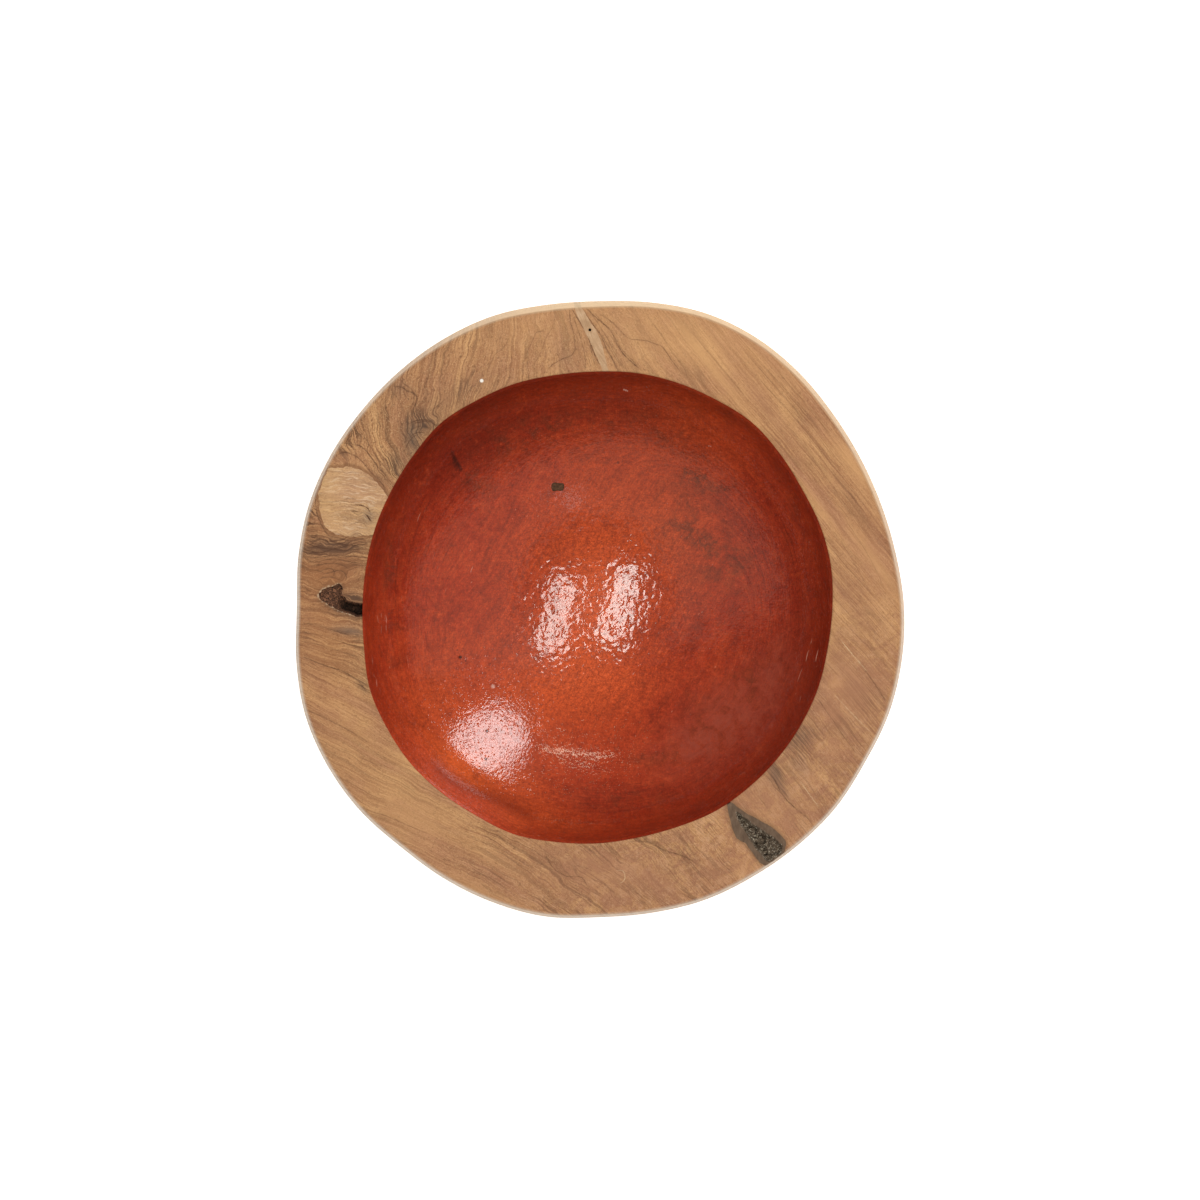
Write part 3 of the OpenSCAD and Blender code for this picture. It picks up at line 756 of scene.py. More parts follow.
# Soft patches: middle, half widths, turn in degrees, then how much darker, pinker and greyer. Some are painted light
# and shade: the broad one across the top of the rim lighter where the light falls, the broad ones at the bottom and
# lower right darker, and one beside the dark knot's hole painted shade.
PATCHES = [
    (398, 388, 12, 10, -20, 0.34, 0.1, 0.25), (412, 440, 8, 20, 8, 0.62, 0.0, 0.60), (398, 466, 7, 14, 20, 0.40, 0.0, 0.3),
    (424, 426, 16, 10, 10, 0.42, 0.0, 0.30), (380, 428, 13, 30, -30, -0.05, 0.0, 0.0), (470, 385, 30, 10, 30, 0.14, 0.12, 0.12), (330, 549, 32, 8, 6, 0.62, 0.0, 0.25), (311, 518, 5, 22, 8, 0.45, 0.0, 0.0),
    (345, 571, 18, 10, 0, 0.34, 0.1, 0.0), (343, 607, 27, 15, -25, 0.30, 0.0, 0.25), (350, 631, 17, 4, -8, 0.42, 0.3, 0.85),
    (363, 686, 9, 5, -50, 0.55, 0.0, 0.2), (775, 774, 13, 6, -62, 0.90, 0.0, 0.5), (783, 790, 14, 3.5, -55, 0.45, 0.0, 0.2), (800, 738, 15, 9, 20, 0.55, 0.1, 0.30), (800, 767, 13, 7, -40, 0.16, 0.1, 0.3),
    (857, 690, 18, 10, -42, 0.58, 0.25, 0.05), (846, 667, 22, 6, -47, 0.16, 0.25, 0.0), (830, 712, 24, 6, -50, 0.22, 0.25, 0.0),
    (836, 683, 8, 7, 0, -0.55, 0.0, 0.0), (826, 716, 9, 6, 0, -0.40, 0.0, 0.0), (833, 748, 20, 10, -20, -0.45, 0.0, 0.0),
    (812, 778, 14, 9, -30, -0.30, 0.0, 0.0), (745, 868, 14, 10, 0, -0.25, 0.1, 0.0), (715, 872, 16, 9, 10, 0.16, 0.2, 0.0),
    (604, 870, 58, 20, -8, 0.14, 0.35, 0.0), (750, 800, 50, 40, -50, 0.06, 0.45, 0.0), (850, 690, 40, 34, -50, 0.02, 0.40, 0.0),
    (800, 815, 40, 30, -50, -0.03, 0.20, 0.05), (400, 800, 66, 42, -40, -0.26, 0.0, 0.0), (345, 722, 30, 44, -20, -0.20, 0.0, 0.0),
    (500, 366, 30, 12, 25, 0.03, 0.08, 0.0), (575, 345, 26, 26, 0, 0.10, 0.0, 0.1), (800, 412, 40, 13, -50, 0.16, 0.10, 0.0),
    (780, 395, 16, 46, 42, -0.10, -0.15, 0.0), (700, 340, 40, 18, -22, -0.06, -0.12, 0.0), (870, 590, 18, 50, 4, -0.03, 0.05, 0.0),
    (330, 580, 34, 62, 0, 0.16, 0.20, 0.0), (328, 606, 30, 80, 0, 0.0, 0.0, -0.30), (330, 574, 36, 22, 0, 0.0, 0.0, -0.12), (322, 541, 20, 7, -8, 0.34, 0.0, 0.10), (337, 458, 26, 7, 0, 0.22, 0.40, 0.0),
    (355, 598, 11, 6, -22, 0.62, 0.0, 0.30), (369, 516, 6, 8, 0, 0.20, 0.0, 0.45), (356, 489, 28, 17, -8, 0.0, 0.50, 0.0), (352, 527, 20, 9, 0, 0.05, 0.30, 0.15),
    (330, 500, 12, 34, 0, -0.30, 0.0, 0.0), (640, 335, 170, 40, -8, -0.42, -0.20, 0.0), (600, 885, 210, 40, 0, 0.07, 0.25, 0.0),
    (318, 690, 16, 60, 12, 0.05, 0.20, 0.0), (860, 560, 40, 60, 0, 0.06, 0.15, 0.0), (840, 740, 60, 70, -50, 0.26, 0.25, 0.0), (332, 668, 32, 30, 0, 0.15, 0.0, 0.0), (420, 822, 34, 26, -28, -0.22, 0.0, 0.0),
    (874, 561, 44, 7, -54, -0.60, 0.0, 0.0), (853, 464, 40, 6, -52, -0.55, 0.0, 0.0), (858, 612, 30, 12, -54, 0.16, 0.15, 0.0),
    (820, 508, 34, 5, -54, -0.45, 0.0, 0.0), (728, 385, 40, 5, -52, -0.32, 0.0, 0.0), (700, 352, 44, 5, -54, -0.30, 0.0, 0.0),
    (762, 400, 44, 9, -51, 0.10, 0.40, 0.05), (716, 366, 26, 4, -53, 0.10, 0.20, 0.0), (843, 486, 26, 4, -53, 0.16, 0.10, 0.0), (757, 372, 34, 9, -51, 0.08, 0.15, 0.0), (623, 342, 24, 22, 0, 0.12, 0.0, 0.10),
    (434, 411, 22, 15, 30, 0.26, 0.15, 0.10), (379, 424, 12, 20, -20, 0.14, 0.0, 0.0), (335, 562, 30, 11, 0, 0.30, 0.1, 0.0), (338, 549, 34, 6, 2, 0.30, 0.0, 0.1), (322, 586, 18, 8, 10, 0.22, 0.0, 0.0),
    (478, 892, 46, 10, -24, -0.45, 0.0, 0.0), (500, 862, 40, 9, -26, -0.30, 0.0, 0.0), (415, 765, 40, 5, -28, -0.30, 0.0, 0.0), (430, 838, 46, 5, -27, 0.14, 0.05, 0.0), (372, 768, 40, 5, -24, 0.10, 0.0, 0.0),
    (356, 430, 14, 26, -35, 0.12, 0.0, 0.0), (384, 470, 10, 18, -35, 0.22, 0.0, 0.1), (450, 372, 22, 14, 35, 0.04, 0.1, 0.0),
]


def channels(lines, least=6.5):
    """Shares the lines out so that two lines of one set never come close."""
    sets = []
    for item in lines:
        path = curve_through(plan(item[2]), 0.8)
        for group in sets:
            if all(np.min(np.hypot(*(path[:, None, :] - other[1][None, :, :]).transpose(2, 0, 1))) > least
                   for other in group):
                group.append((item, path))
                break
        else:
            sets.append([(item, path)])
    return sets


LINE_SETS = channels(LINES)


def mark_lines(obj):
    v = coords(obj)
    fade = smooth(v[:, 2], H - 14, H - 3)
    for k, group in enumerate(LINE_SETS):
        data = np.zeros((len(v), 3))
        data[:, 0] = 9.0
        for (strength, half, _), path in group:
            lo, hi = path.min(axis=0) - 4, path.max(axis=0) + 4
            near = np.flatnonzero(((v[:, :2] > lo) & (v[:, :2] < hi)).all(axis=1) & (fade > 0))
            if not len(near):
                continue
            d, along, total = to_curve(v[near, :2], path)
            taper = min(4.0, 0.3 * total)
            ends = smooth(along, -0.6, taper) * smooth(total - along, -0.6, taper)
            hit = np.abs(d) < 3.2
            at = near[hit]
            data[at, 0] = d[hit]
            data[at, 1] = strength * ends[hit] * fade[at]
            data[at, 2] = half
        add_vector(obj, "line%d" % k, data)


def soft_patches(obj):
    v = coords(obj)
    fade = smooth(v[:, 2], H - 18, H - 3)
    total = np.zeros((len(v), 3))
    for u, w, rx, ry, turn, dark, pink, grey in PATCHES:
        c = plan([(u, w)])[0]
        t = math.radians(turn)
        dx, dy = v[:, 0] - c[0], v[:, 1] - c[1]
        x = (dx * math.cos(t) + dy * math.sin(t)) / (rx * 0.4926)
        y = (-dx * math.sin(t) + dy * math.cos(t)) / (ry * 0.4926)
        total += np.exp(-(x * x + y * y))[:, None] * np.array([dark, pink, grey])
    add_vector(obj, "patch", total * fade[:, None])


def rim_masks(obj):
    """Edge: the sanded arris, the line inside it, the wood under the lacquer.
    Halo: how close the bark and the knots are. Calm: where the grain runs straight."""
    v = coords(obj)
    a = np.degrees(np.arctan2(v[:, 1], v[:, 0]))
    r = np.hypot(v[:, 0], v[:, 1])
    wide = EASE_W * edge_width(a)
    inset = around(OUTER, a) - r
    ragged = 1.0 + 0.30 * fbm(np.column_stack([v[:, :2], np.zeros(len(v))]), 6, 2, 99)
    drop_to = (H - v[:, 2]) / (EASE_H * edge_width(a) * ragged)
    arris = (1 - smooth(inset / wide, 0.95, 1.25)) * (1 - smooth(drop_to, 0.70, 2.1))
    past = inset - wide
    groove = smooth(past, 0.0, 0.4) * (1 - smooth(past, 0.6, 1.3)) * smooth(v[:, 2], H - 2, H - 0.5)
    middle = v[:, :2] - MID
    reach = np.hypot(middle[:, 0], middle[:, 1])
    mouth = around(MOUTH, np.degrees(np.arctan2(middle[:, 1], middle[:, 0])))
    under = (v[:, 2] < H - 0.6) & (reach < mouth + 0.15) & (v[:, 2] > 20)
    add_vector(obj, "edge", np.column_stack([arris, groove, under.astype(float)]))
    top = smooth(v[:, 2], H - 16, H - 2)
    near = v[:, 2] > H - 20
    bark = np.full(len(v), 9.0)
    round_knot = np.full(len(v), 9.0)
    dark = np.full(len(v), 9.0)
    bark[near] = np.minimum(9, from_outline(v[near, :2], fissure_edge))
    round_knot[near] = np.clip(from_outline(v[near, :2], knot_edge), -9, 9)
    dark[near] = np.minimum(9, from_outline(v[near, :2], dark_edge))
    add_vector(obj, "halo", np.column_stack([bark + (1 - top) * 9, round_knot + (1 - top) * 9, dark + (1 - top) * 9]))
    add_float(obj, "calm", calmness(a))
    # pale frayed fibres with a painted highlight along the left and top lip of the dark knot's hole
    away = smooth(v[:, 0], -126.0, -131.0) + smooth(v[:, 1], 1.6, 0.2) * smooth(v[:, 0], -119.0, -124.0)
    add_float(obj, "lip", (1 - smooth(dark, 0.10, 0.50)) * (dark > -0.2) * np.clip(away, 0, 1))
    add_float(obj, "marble", np.clip(0.95 * bump_at(a, 322, 38) + 0.75 * bump_at(a, 272, 26) + 0.4 * bump_at(a, 95, 30), 0.0, 1.0))
    # the top and upper right of the edge, where the light falls; it sets the cream painted highlight on the arris
    add_float(obj, "lit_side", np.clip(1.1 * bump_at(a, 85, 48) + 0.5 * bump_at(a, 20, 30), 0.0, 1.0))


def branch_grain(v):
    """The sawn branch: its fibres lie level and bend round its cracked heart."""
    x, y = v[:, 0], v[:, 1]
    q = np.column_stack([x, y, np.zeros(len(v))])
    heart = plan([(367, 515)])[0]
    near = np.exp(-((x - heart[0]) ** 2 + (y - heart[1]) ** 2) / 5.0 ** 2)
    across = y + 1.1 * fbm(q, 7, 2, 96) + 0.5 * fbm(q, 2.6, 2, 97) + 2.2 * near * fbm(q, 2.2, 2, 98) + 0.10 * (x + 122)
    return np.column_stack([across, x * 1.0, H - v[:, 2]])


for obj in (body, knot, strip):
    add_vector(obj, "grain", branch_grain(coords(obj)) if obj is knot else grain(coords(obj)))
    mark_lines(obj)
    soft_patches(obj)
    rim_masks(obj)


# ------------------------------------------------------------------ materials
def rgb(r, g, b):
    return tuple(c / 12.92 if c <= 0.04045 else ((c + 0.055) / 1.055) ** 2.4 for c in (r / 255, g / 255, b / 255)) + (1.0,)


class Look:
    """A small helper to write a node material line by line."""

    def __init__(self, name):
        self.mat = bpy.data.materials.new(name)
        self.mat.use_nodes = True
        self.tree = self.mat.node_tree
        self.tree.nodes.clear()
        self.out = self.tree.nodes.new("ShaderNodeOutputMaterial")
        self.bsdf = self.tree.nodes.new("ShaderNodeBsdfPrincipled")
        self.tree.links.new(self.bsdf.outputs[0], self.out.inputs["Surface"])

    def put(self, socket, value):
        if isinstance(value, bpy.types.NodeSocket):
            self.tree.links.new(value, socket)
        else:
            socket.default_value = value

    def attr(self, name, output="Vector"):
        n = self.tree.nodes.new("ShaderNodeAttribute")
        n.attribute_name = name
        return n.outputs[output]

    def place(self):
        return self.tree.nodes.new("ShaderNodeTexCoord").outputs["Object"]

    def split(self, vector):
        n = self.tree.nodes.new("ShaderNodeSeparateXYZ")
        self.put(n.inputs[0], vector)
        return n.outputs[0], n.outputs[1], n.outputs[2]

    def join(self, x, y, z):
        n = self.tree.nodes.new("ShaderNodeCombineXYZ")
        for socket, value in zip(n.inputs, (x, y, z)):
            self.put(socket, value)
        return n.outputs[0]

    def math(self, op, a, b=0.0, c=0.0, clamp=False):
        n = self.tree.nodes.new("ShaderNodeMath")
        n.operation = op
        n.use_clamp = clamp
        for socket, value in zip(n.inputs, (a, b, c)):
            self.put(socket, value)
        return n.outputs[0]

    def add(self, a, b):
        return self.math("ADD", a, b)

    def mul(self, a, b):
        return self.math("MULTIPLY", a, b)

    def scale(self, vector, k):
        n = self.tree.nodes.new("ShaderNodeVectorMath")
        n.operation = "SCALE"
        self.put(n.inputs[0], vector)
        n.inputs["Scale"].default_value = k
        return n.outputs[0]

    def noise(self, vector, size=1.0, detail=2.0, rough=0.5, distort=0.0):
        n = self.tree.nodes.new("ShaderNodeTexNoise")
        n.noise_dimensions = "3D"
        self.put(n.inputs["Vector"], vector)
        n.inputs["Scale"].default_value = size
        n.inputs["Detail"].default_value = detail
        n.inputs["Roughness"].default_value = rough
        n.inputs["Distortion"].default_value = distort
        return n.outputs[0]

    def cells(self, vector, size=1.0, feature="F1", output="Distance", rand=1.0):
        n = self.tree.nodes.new("ShaderNodeTexVoronoi")
        n.feature = feature
        self.put(n.inputs["Vector"], vector)
        n.inputs["Scale"].default_value = size
        n.inputs["Randomness"].default_value = rand
        return n.outputs[output]

    def step(self, x, lo, hi, a=0.0, b=1.0):
        n = self.tree.nodes.new("ShaderNodeMapRange")
        n.interpolation_type = "SMOOTHSTEP"
        for socket, value in zip(n.inputs[:5], (x, lo, hi, a, b)):
            self.put(socket, value)
        return n.outputs[0]

    def mix(self, fac, a, b, blend="MIX"):
        n = self.tree.nodes.new("ShaderNodeMix")
        n.data_type = "RGBA"
        n.blend_type = blend
        n.clamp_factor = True
        self.put(n.inputs[0], fac)
        self.put(n.inputs[6], a)
        self.put(n.inputs[7], b)
        return n.outputs[2]

    def ramp(self, fac, *stops):
        n = self.tree.nodes.new("ShaderNodeValToRGB")
        e = n.color_ramp.elements
        while len(e) < len(stops):
            e.new(0.5)
        for k, (at, colour) in enumerate(stops):
            e[k].position = at
            e[k].color = colour
        self.put(n.inputs[0], fac)
        return n.outputs[0]

    def dot(self, flat, at, radius, soft=0.35):
        n = self.tree.nodes.new("ShaderNodeVectorMath")
        n.operation = "DISTANCE"
        self.put(n.inputs[0], flat)
        n.inputs[1].default_value = (at[0], at[1], 0.0)
        return self.step(n.outputs["Value"], radius * (1 + soft), radius * (1 - soft))

    def bump(self, height, distance, strength=1.0, normal=None):
        n = self.tree.nodes.new("ShaderNodeBump")
        n.inputs["Strength"].default_value = strength
        n.inputs["Distance"].default_value = distance
        self.put(n.inputs["Height"], height)
        if normal is not None:
            self.put(n.inputs["Normal"], normal)
        return n.outputs[0]


def wood(name, tan, yellow, pink, brown, dark, contrast=1.0, line_sets=0, seed=0.0, fleck=0.0):
    """Sanded root wood: broad bands, growth lines, fibres and pores that follow the grain."""
    k = Look(name)
    g, along, depth = k.split(k.attr("grain"))
    calm = k.attr("calm", "Fac")
    lively = k.math("SUBTRACT", 1.0, calm)
    place = k.scale(k.place(), 1000.0)
    soft, blush, grey = k.split(k.attr("patch"))
    wave = k.add(k.mul(k.add(k.noise(place, 0.085, 2.0, 0.55), -0.5), 4.2),
                 k.mul(k.add(k.noise(place, 0.30, 2.0, 0.5), -0.5), 1.0))
    wave = k.add(wave, k.mul(k.add(k.noise(place, 0.75, 2.0, 0.5), -0.5), 0.5))
    g = k.add(g, k.mul(wave, k.add(0.22, k.mul(lively, 0.78))))

    def streak(across, length, detail, rough, off):
        return k.noise(k.join(k.add(k.mul(g, 1.0 / across), seed + off), k.mul(along, 1.0 / length),
                              k.mul(depth, 0.02)), 1.0, detail, rough)

    bands = streak(9.0, 130.0, 2.0, 0.5, 3.0)
    fine = streak(2.3, 60.0, 3.0, 0.6, 17.0)
    rings = streak(5.2, 150.0, 1.0, 0.5, 29.0)
    tight = streak(1.5, 90.0, 1.0, 0.5, 41.0)
    hair = streak(1.7, 40.0, 1.0, 0.5, 83.0)
    fibre = streak(0.50, 11.0, 4.0, 0.75, 53.0)
    pores = streak(0.42, 1.9, 1.0, 0.5, 67.0)
    blotch = k.noise(place, 0.040, 3.0, 0.55)
    speck = k.noise(place, 0.9, 3.0, 0.6)
    dust = k.noise(place, 1.7, 2.0, 0.7)

    col = k.ramp(bands, (0.32, pink), (0.46, tan), (0.54, tan), (0.68, yellow))
    col = k.mix(k.mul(k.step(blotch, 0.46, 0.68), 0.60), col, yellow)
    col = k.mix(k.mul(k.step(blotch, 0.47, 0.30), 0.65), col, pink)
    marble = k.attr("marble", "Fac")
    plain = k.math("SUBTRACT", 1.0, k.mul(marble, 0.68))
    more = k.mul(k.add(0.80, k.mul(lively, 0.20)), plain)
    col = k.mix(k.mul(k.mul(k.step(fine, 0.52, 0.30), more), 0.66 * contrast), col, brown)
    col = k.mix(k.mul(k.mul(k.step(fine, 0.55, 0.75), plain), 0.40 * contrast), col, yellow)
    thread = streak(0.80, 55.0, 3.0, 0.65, 97.0)
    col = k.mix(k.mul(k.mul(k.step(thread, 0.52, 0.34), plain), 0.42 * contrast), col, brown)
    col = k.mix(k.mul(k.mul(k.step(thread, 0.54, 0.70), plain), 0.36 * contrast), col, yellow)
    # marbling where the root burrs
    burr = k.noise(place, 0.085, 5.0, 0.6, 1.2)
    knurl = k.noise(place, 0.21, 5.0, 0.7, 1.5)
    col = k.mix(k.mul(k.mul(k.step(burr, 0.50, 0.57), marble), 0.66), col, rgb(156, 106, 82))
    col = k.mix(k.mul(k.mul(k.step(burr, 0.47, 0.41), marble), 0.50), col, rgb(202, 154, 118))
    col = k.mix(k.mul(k.mul(k.step(knurl, 0.52, 0.62), marble), 0.50), col, rgb(150, 100, 77))
    col = k.mix(k.mul(k.mul(k.step(knurl, 0.47, 0.38), marble), 0.42), col, rgb(206, 160, 124))
    # growth lines: thin, and coming and going along their length
    some = k.step(k.noise(k.join(k.mul(g, 0.05), k.mul(along, 0.025), seed), 1.0, 2.0, 0.5), 0.38, 0.66)
    tuft = k.step(k.noise(k.join(k.mul(g, 0.10), k.mul(along, 0.045), seed + 7.0), 1.0, 2.0, 0.5), 0.40, 0.62)
    line = k.step(k.math("ABSOLUTE", k.add(rings, -0.5)), 0.036, 0.004)
    line2 = k.step(k.math("ABSOLUTE", k.add(tight, -0.52)), 0.075, 0.015)
    line3 = k.step(k.math("ABSOLUTE", k.add(hair, -0.5)), 0.050, 0.010)
    lines_on = k.add(0.30, k.mul(lively, 0.70))
    busy = k.math("ADD", 1.0, k.mul(soft, 1.6))
    col = k.mix(k.mul(k.mul(k.mul(line, k.add(k.mul(some, 0.75), 0.15)), lines_on), 0.58 * contrast), col, dark)
    col = k.mix(k.mul(k.mul(k.mul(line2, some), lines_on), 0.36 * contrast), col, brown)
    col = k.mix(k.math("MULTIPLY", k.mul(k.mul(line3, tuft), busy), k.mul(lines_on, 0.50 * contrast), clamp=True), col, dark)
    # fibres, pores and the dust of sanding
    col = k.mix(k.mul(k.mul(k.step(fibre, 0.55, 0.28), plain), 0.50 * contrast), col, brown)
    col = k.mix(k.mul(k.mul(k.step(fibre, 0.54, 0.78), plain), 0.38 * contrast), col, yellow)
    col = k.mix(k.mul(k.mul(k.step(pores, 0.58, 0.70), k.add(0.45, k.mul(lively, 0.55))), 0.46 * contrast), col, dark)
    sandy = k.add(0.50, k.mul(lively, 0.50))
    col = k.mix(k.mul(k.mul(k.step(dust, 0.50, 0.66), sandy), 0.42), col, brown)
    col = k.mix(k.mul(k.mul(k.step(dust, 0.48, 0.33), sandy), 0.34), col, rgb(220, 177, 132))
    if fleck:
        ray = k.noise(k.join(k.mul(g, 1.15), k.mul(along, 0.11), seed + 31.0), 1.0, 3.0, 0.65)
        zone = k.add(0.05, k.mul(blush, 2.0))
        col = k.mix(k.math("MULTIPLY", k.mul(k.step(ray, 0.52, 0.62), fleck), zone, clamp=True), col, rgb(240, 214, 184))
        col = k.mix(k.math("MULTIPLY", k.mul(k.step(ray, 0.45, 0.33), fleck), zone, clamp=True), col, brown)
    # soft stains, and painted light and shade where the patches paint it
    mottled = k.add(k.add(0.22, k.mul(fine, 0.5)), k.add(k.mul(k.step(thread, 0.56, 0.40), 0.75), k.mul(line3, 0.8)))
    col = k.mix(k.math("MULTIPLY", soft, mottled, clamp=True), col, dark)
    col = k.mix(k.math("MULTIPLY", soft, -1.0, clamp=True), col, yellow)
    col = k.mix(k.math("MULTIPLY", blush, 1.0, clamp=True), col, pink)
    col = k.mix(k.mul(k.math("MULTIPLY", grey, 1.0, clamp=True), 0.6), col, rgb(112, 97, 84))
    col = k.mix(k.math("MULTIPLY", grey, -1.0, clamp=True), col, rgb(168, 106, 58))
    # lines that run where they run
    carve = None
    ink = rgb(86, 55, 37)
    shake = k.mul(k.add(k.noise(place, 0.8, 2.0, 0.6), -0.5), 0.8)
    broken = k.step(k.noise(place, 0.33, 3.0, 0.65), 0.30, 0.66, 0.30, 1.10)
    for i in range(line_sets):
        d, strength, half = k.split(k.attr("line%d" % i))
        wide = k.mul(half, k.add(0.25, k.mul(speck, 0.75)))
        on = k.step(k.math("DIVIDE", k.math("ABSOLUTE", k.add(d, shake)), k.add(wide, 0.02)), 1.7, 0.5)
        on = k.mul(k.mul(on, strength), broken)
        glow = k.mul(k.step(k.math("ABSOLUTE", d), 1.7, 0.1), k.mul(strength, 0.14))
        col = k.mix(k.math("ADD", on, glow, clamp=True), col, ink)
        col = k.mix(k.math("MULTIPLY", on, -1.0, clamp=True), col, rgb(222, 190, 150))
        carve = on if carve is None else k.add(carve, on)
    if line_sets and not fleck:
        px, py, _ = k.split(place)
        chalk = k.dot(k.join(px, py, 0.0), plan([(481.7, 380.7)])[0], 0.85)
        col = k.mix(k.mul(chalk, 0.9), col, rgb(244, 238, 232))
    # stained wood next to the bark and the round knot, and painted shade on the wood round the dark knot's hole
    bark, round_knot, hole = k.split(k.attr("halo"))
    ragged = k.mul(k.add(speck, -0.5), 1.5)
    col = k.mix(k.mul(k.step(bark, 2.6, 0.0), 0.45), col, rgb(112, 84, 58))
    if not fleck:
        col = k.mix(k.mul(k.step(k.add(round_knot, ragged), 1.7, 0.0), 0.55), col, rgb(112, 74, 48))
    col = k.mix(k.mul(k.step(k.add(hole, ragged), 2.6, 0.2), 0.40), col, rgb(104, 70, 47))
    # pale frayed fibres with a painted highlight on the lip of the dark knot's hole
    col = k.mix(k.mul(k.attr("lip", "Fac"), k.step(speck, 0.44, 0.62, 0.05, 0.70)), col, rgb(216, 190, 160))
    # sanded arris with a painted highlight, cream at the top and upper right where the light falls and grey-white
    # elsewhere, a dark line inside it, and the stained wood under the lacquer
    arris, groove, under = k.split(k.attr("edge"))
    lit_side = k.attr("lit_side", "Fac")
    col = k.mix(k.mul(groove, k.step(lit_side, 0.0, 1.0, 0.38, 0.24)), col, dark)
    col = k.mix(k.mul(arris, k.mul(lit_side, 0.75)), col, rgb(230, 202, 168))
    worn_and_lit = k.step(fibre, 0.30, 0.62, 0.62, 0.86)
    col = k.mix(k.mul(arris, k.mul(k.math("SUBTRACT", 1.0, lit_side), worn_and_lit)), col, rgb(224, 208, 194))
    col = k.mix(k.math("MULTIPLY", under, k.add(0.62, k.mul(speck, 0.5)), clamp=True), col, rgb(66, 42, 27))
    k.put(k.bsdf.inputs["Base Color"], col)
    rough = k.add(k.step(fibre, 0.3, 0.75, 0.70, 0.54), k.mul(speck, 0.06))
    k.put(k.bsdf.inputs["Roughness"], rough)
    k.bsdf.inputs["Specular IOR Level"].default_value = 0.20
    height = k.add(k.mul(fibre, 0.5), k.add(k.mul(k.step(pores, 0.58, 0.74), -0.7), k.mul(line, -0.25)))
    height = k.add(height, k.mul(speck, 0.35))
    if carve is not None:
        height = k.add(height, k.mul(carve, -0.6))
    k.put(k.bsdf.inputs["Normal"], k.bump(height, 0.00010, 0.8))
    return k


root = wood("root_wood", rgb(180, 131, 90), rgb(205, 156, 107), rgb(171, 120, 89), rgb(138, 91, 61), rgb(74, 47, 31),
            1.34, len(LINE_SETS), 0.0)
branch = wood("branch_wood", rgb(194, 151, 110), rgb(213, 171, 118), rgb(191, 147, 115), rgb(148, 105, 76),
              rgb(78, 52, 36), 0.85, len(LINE_SETS), 211.0, 0.72)


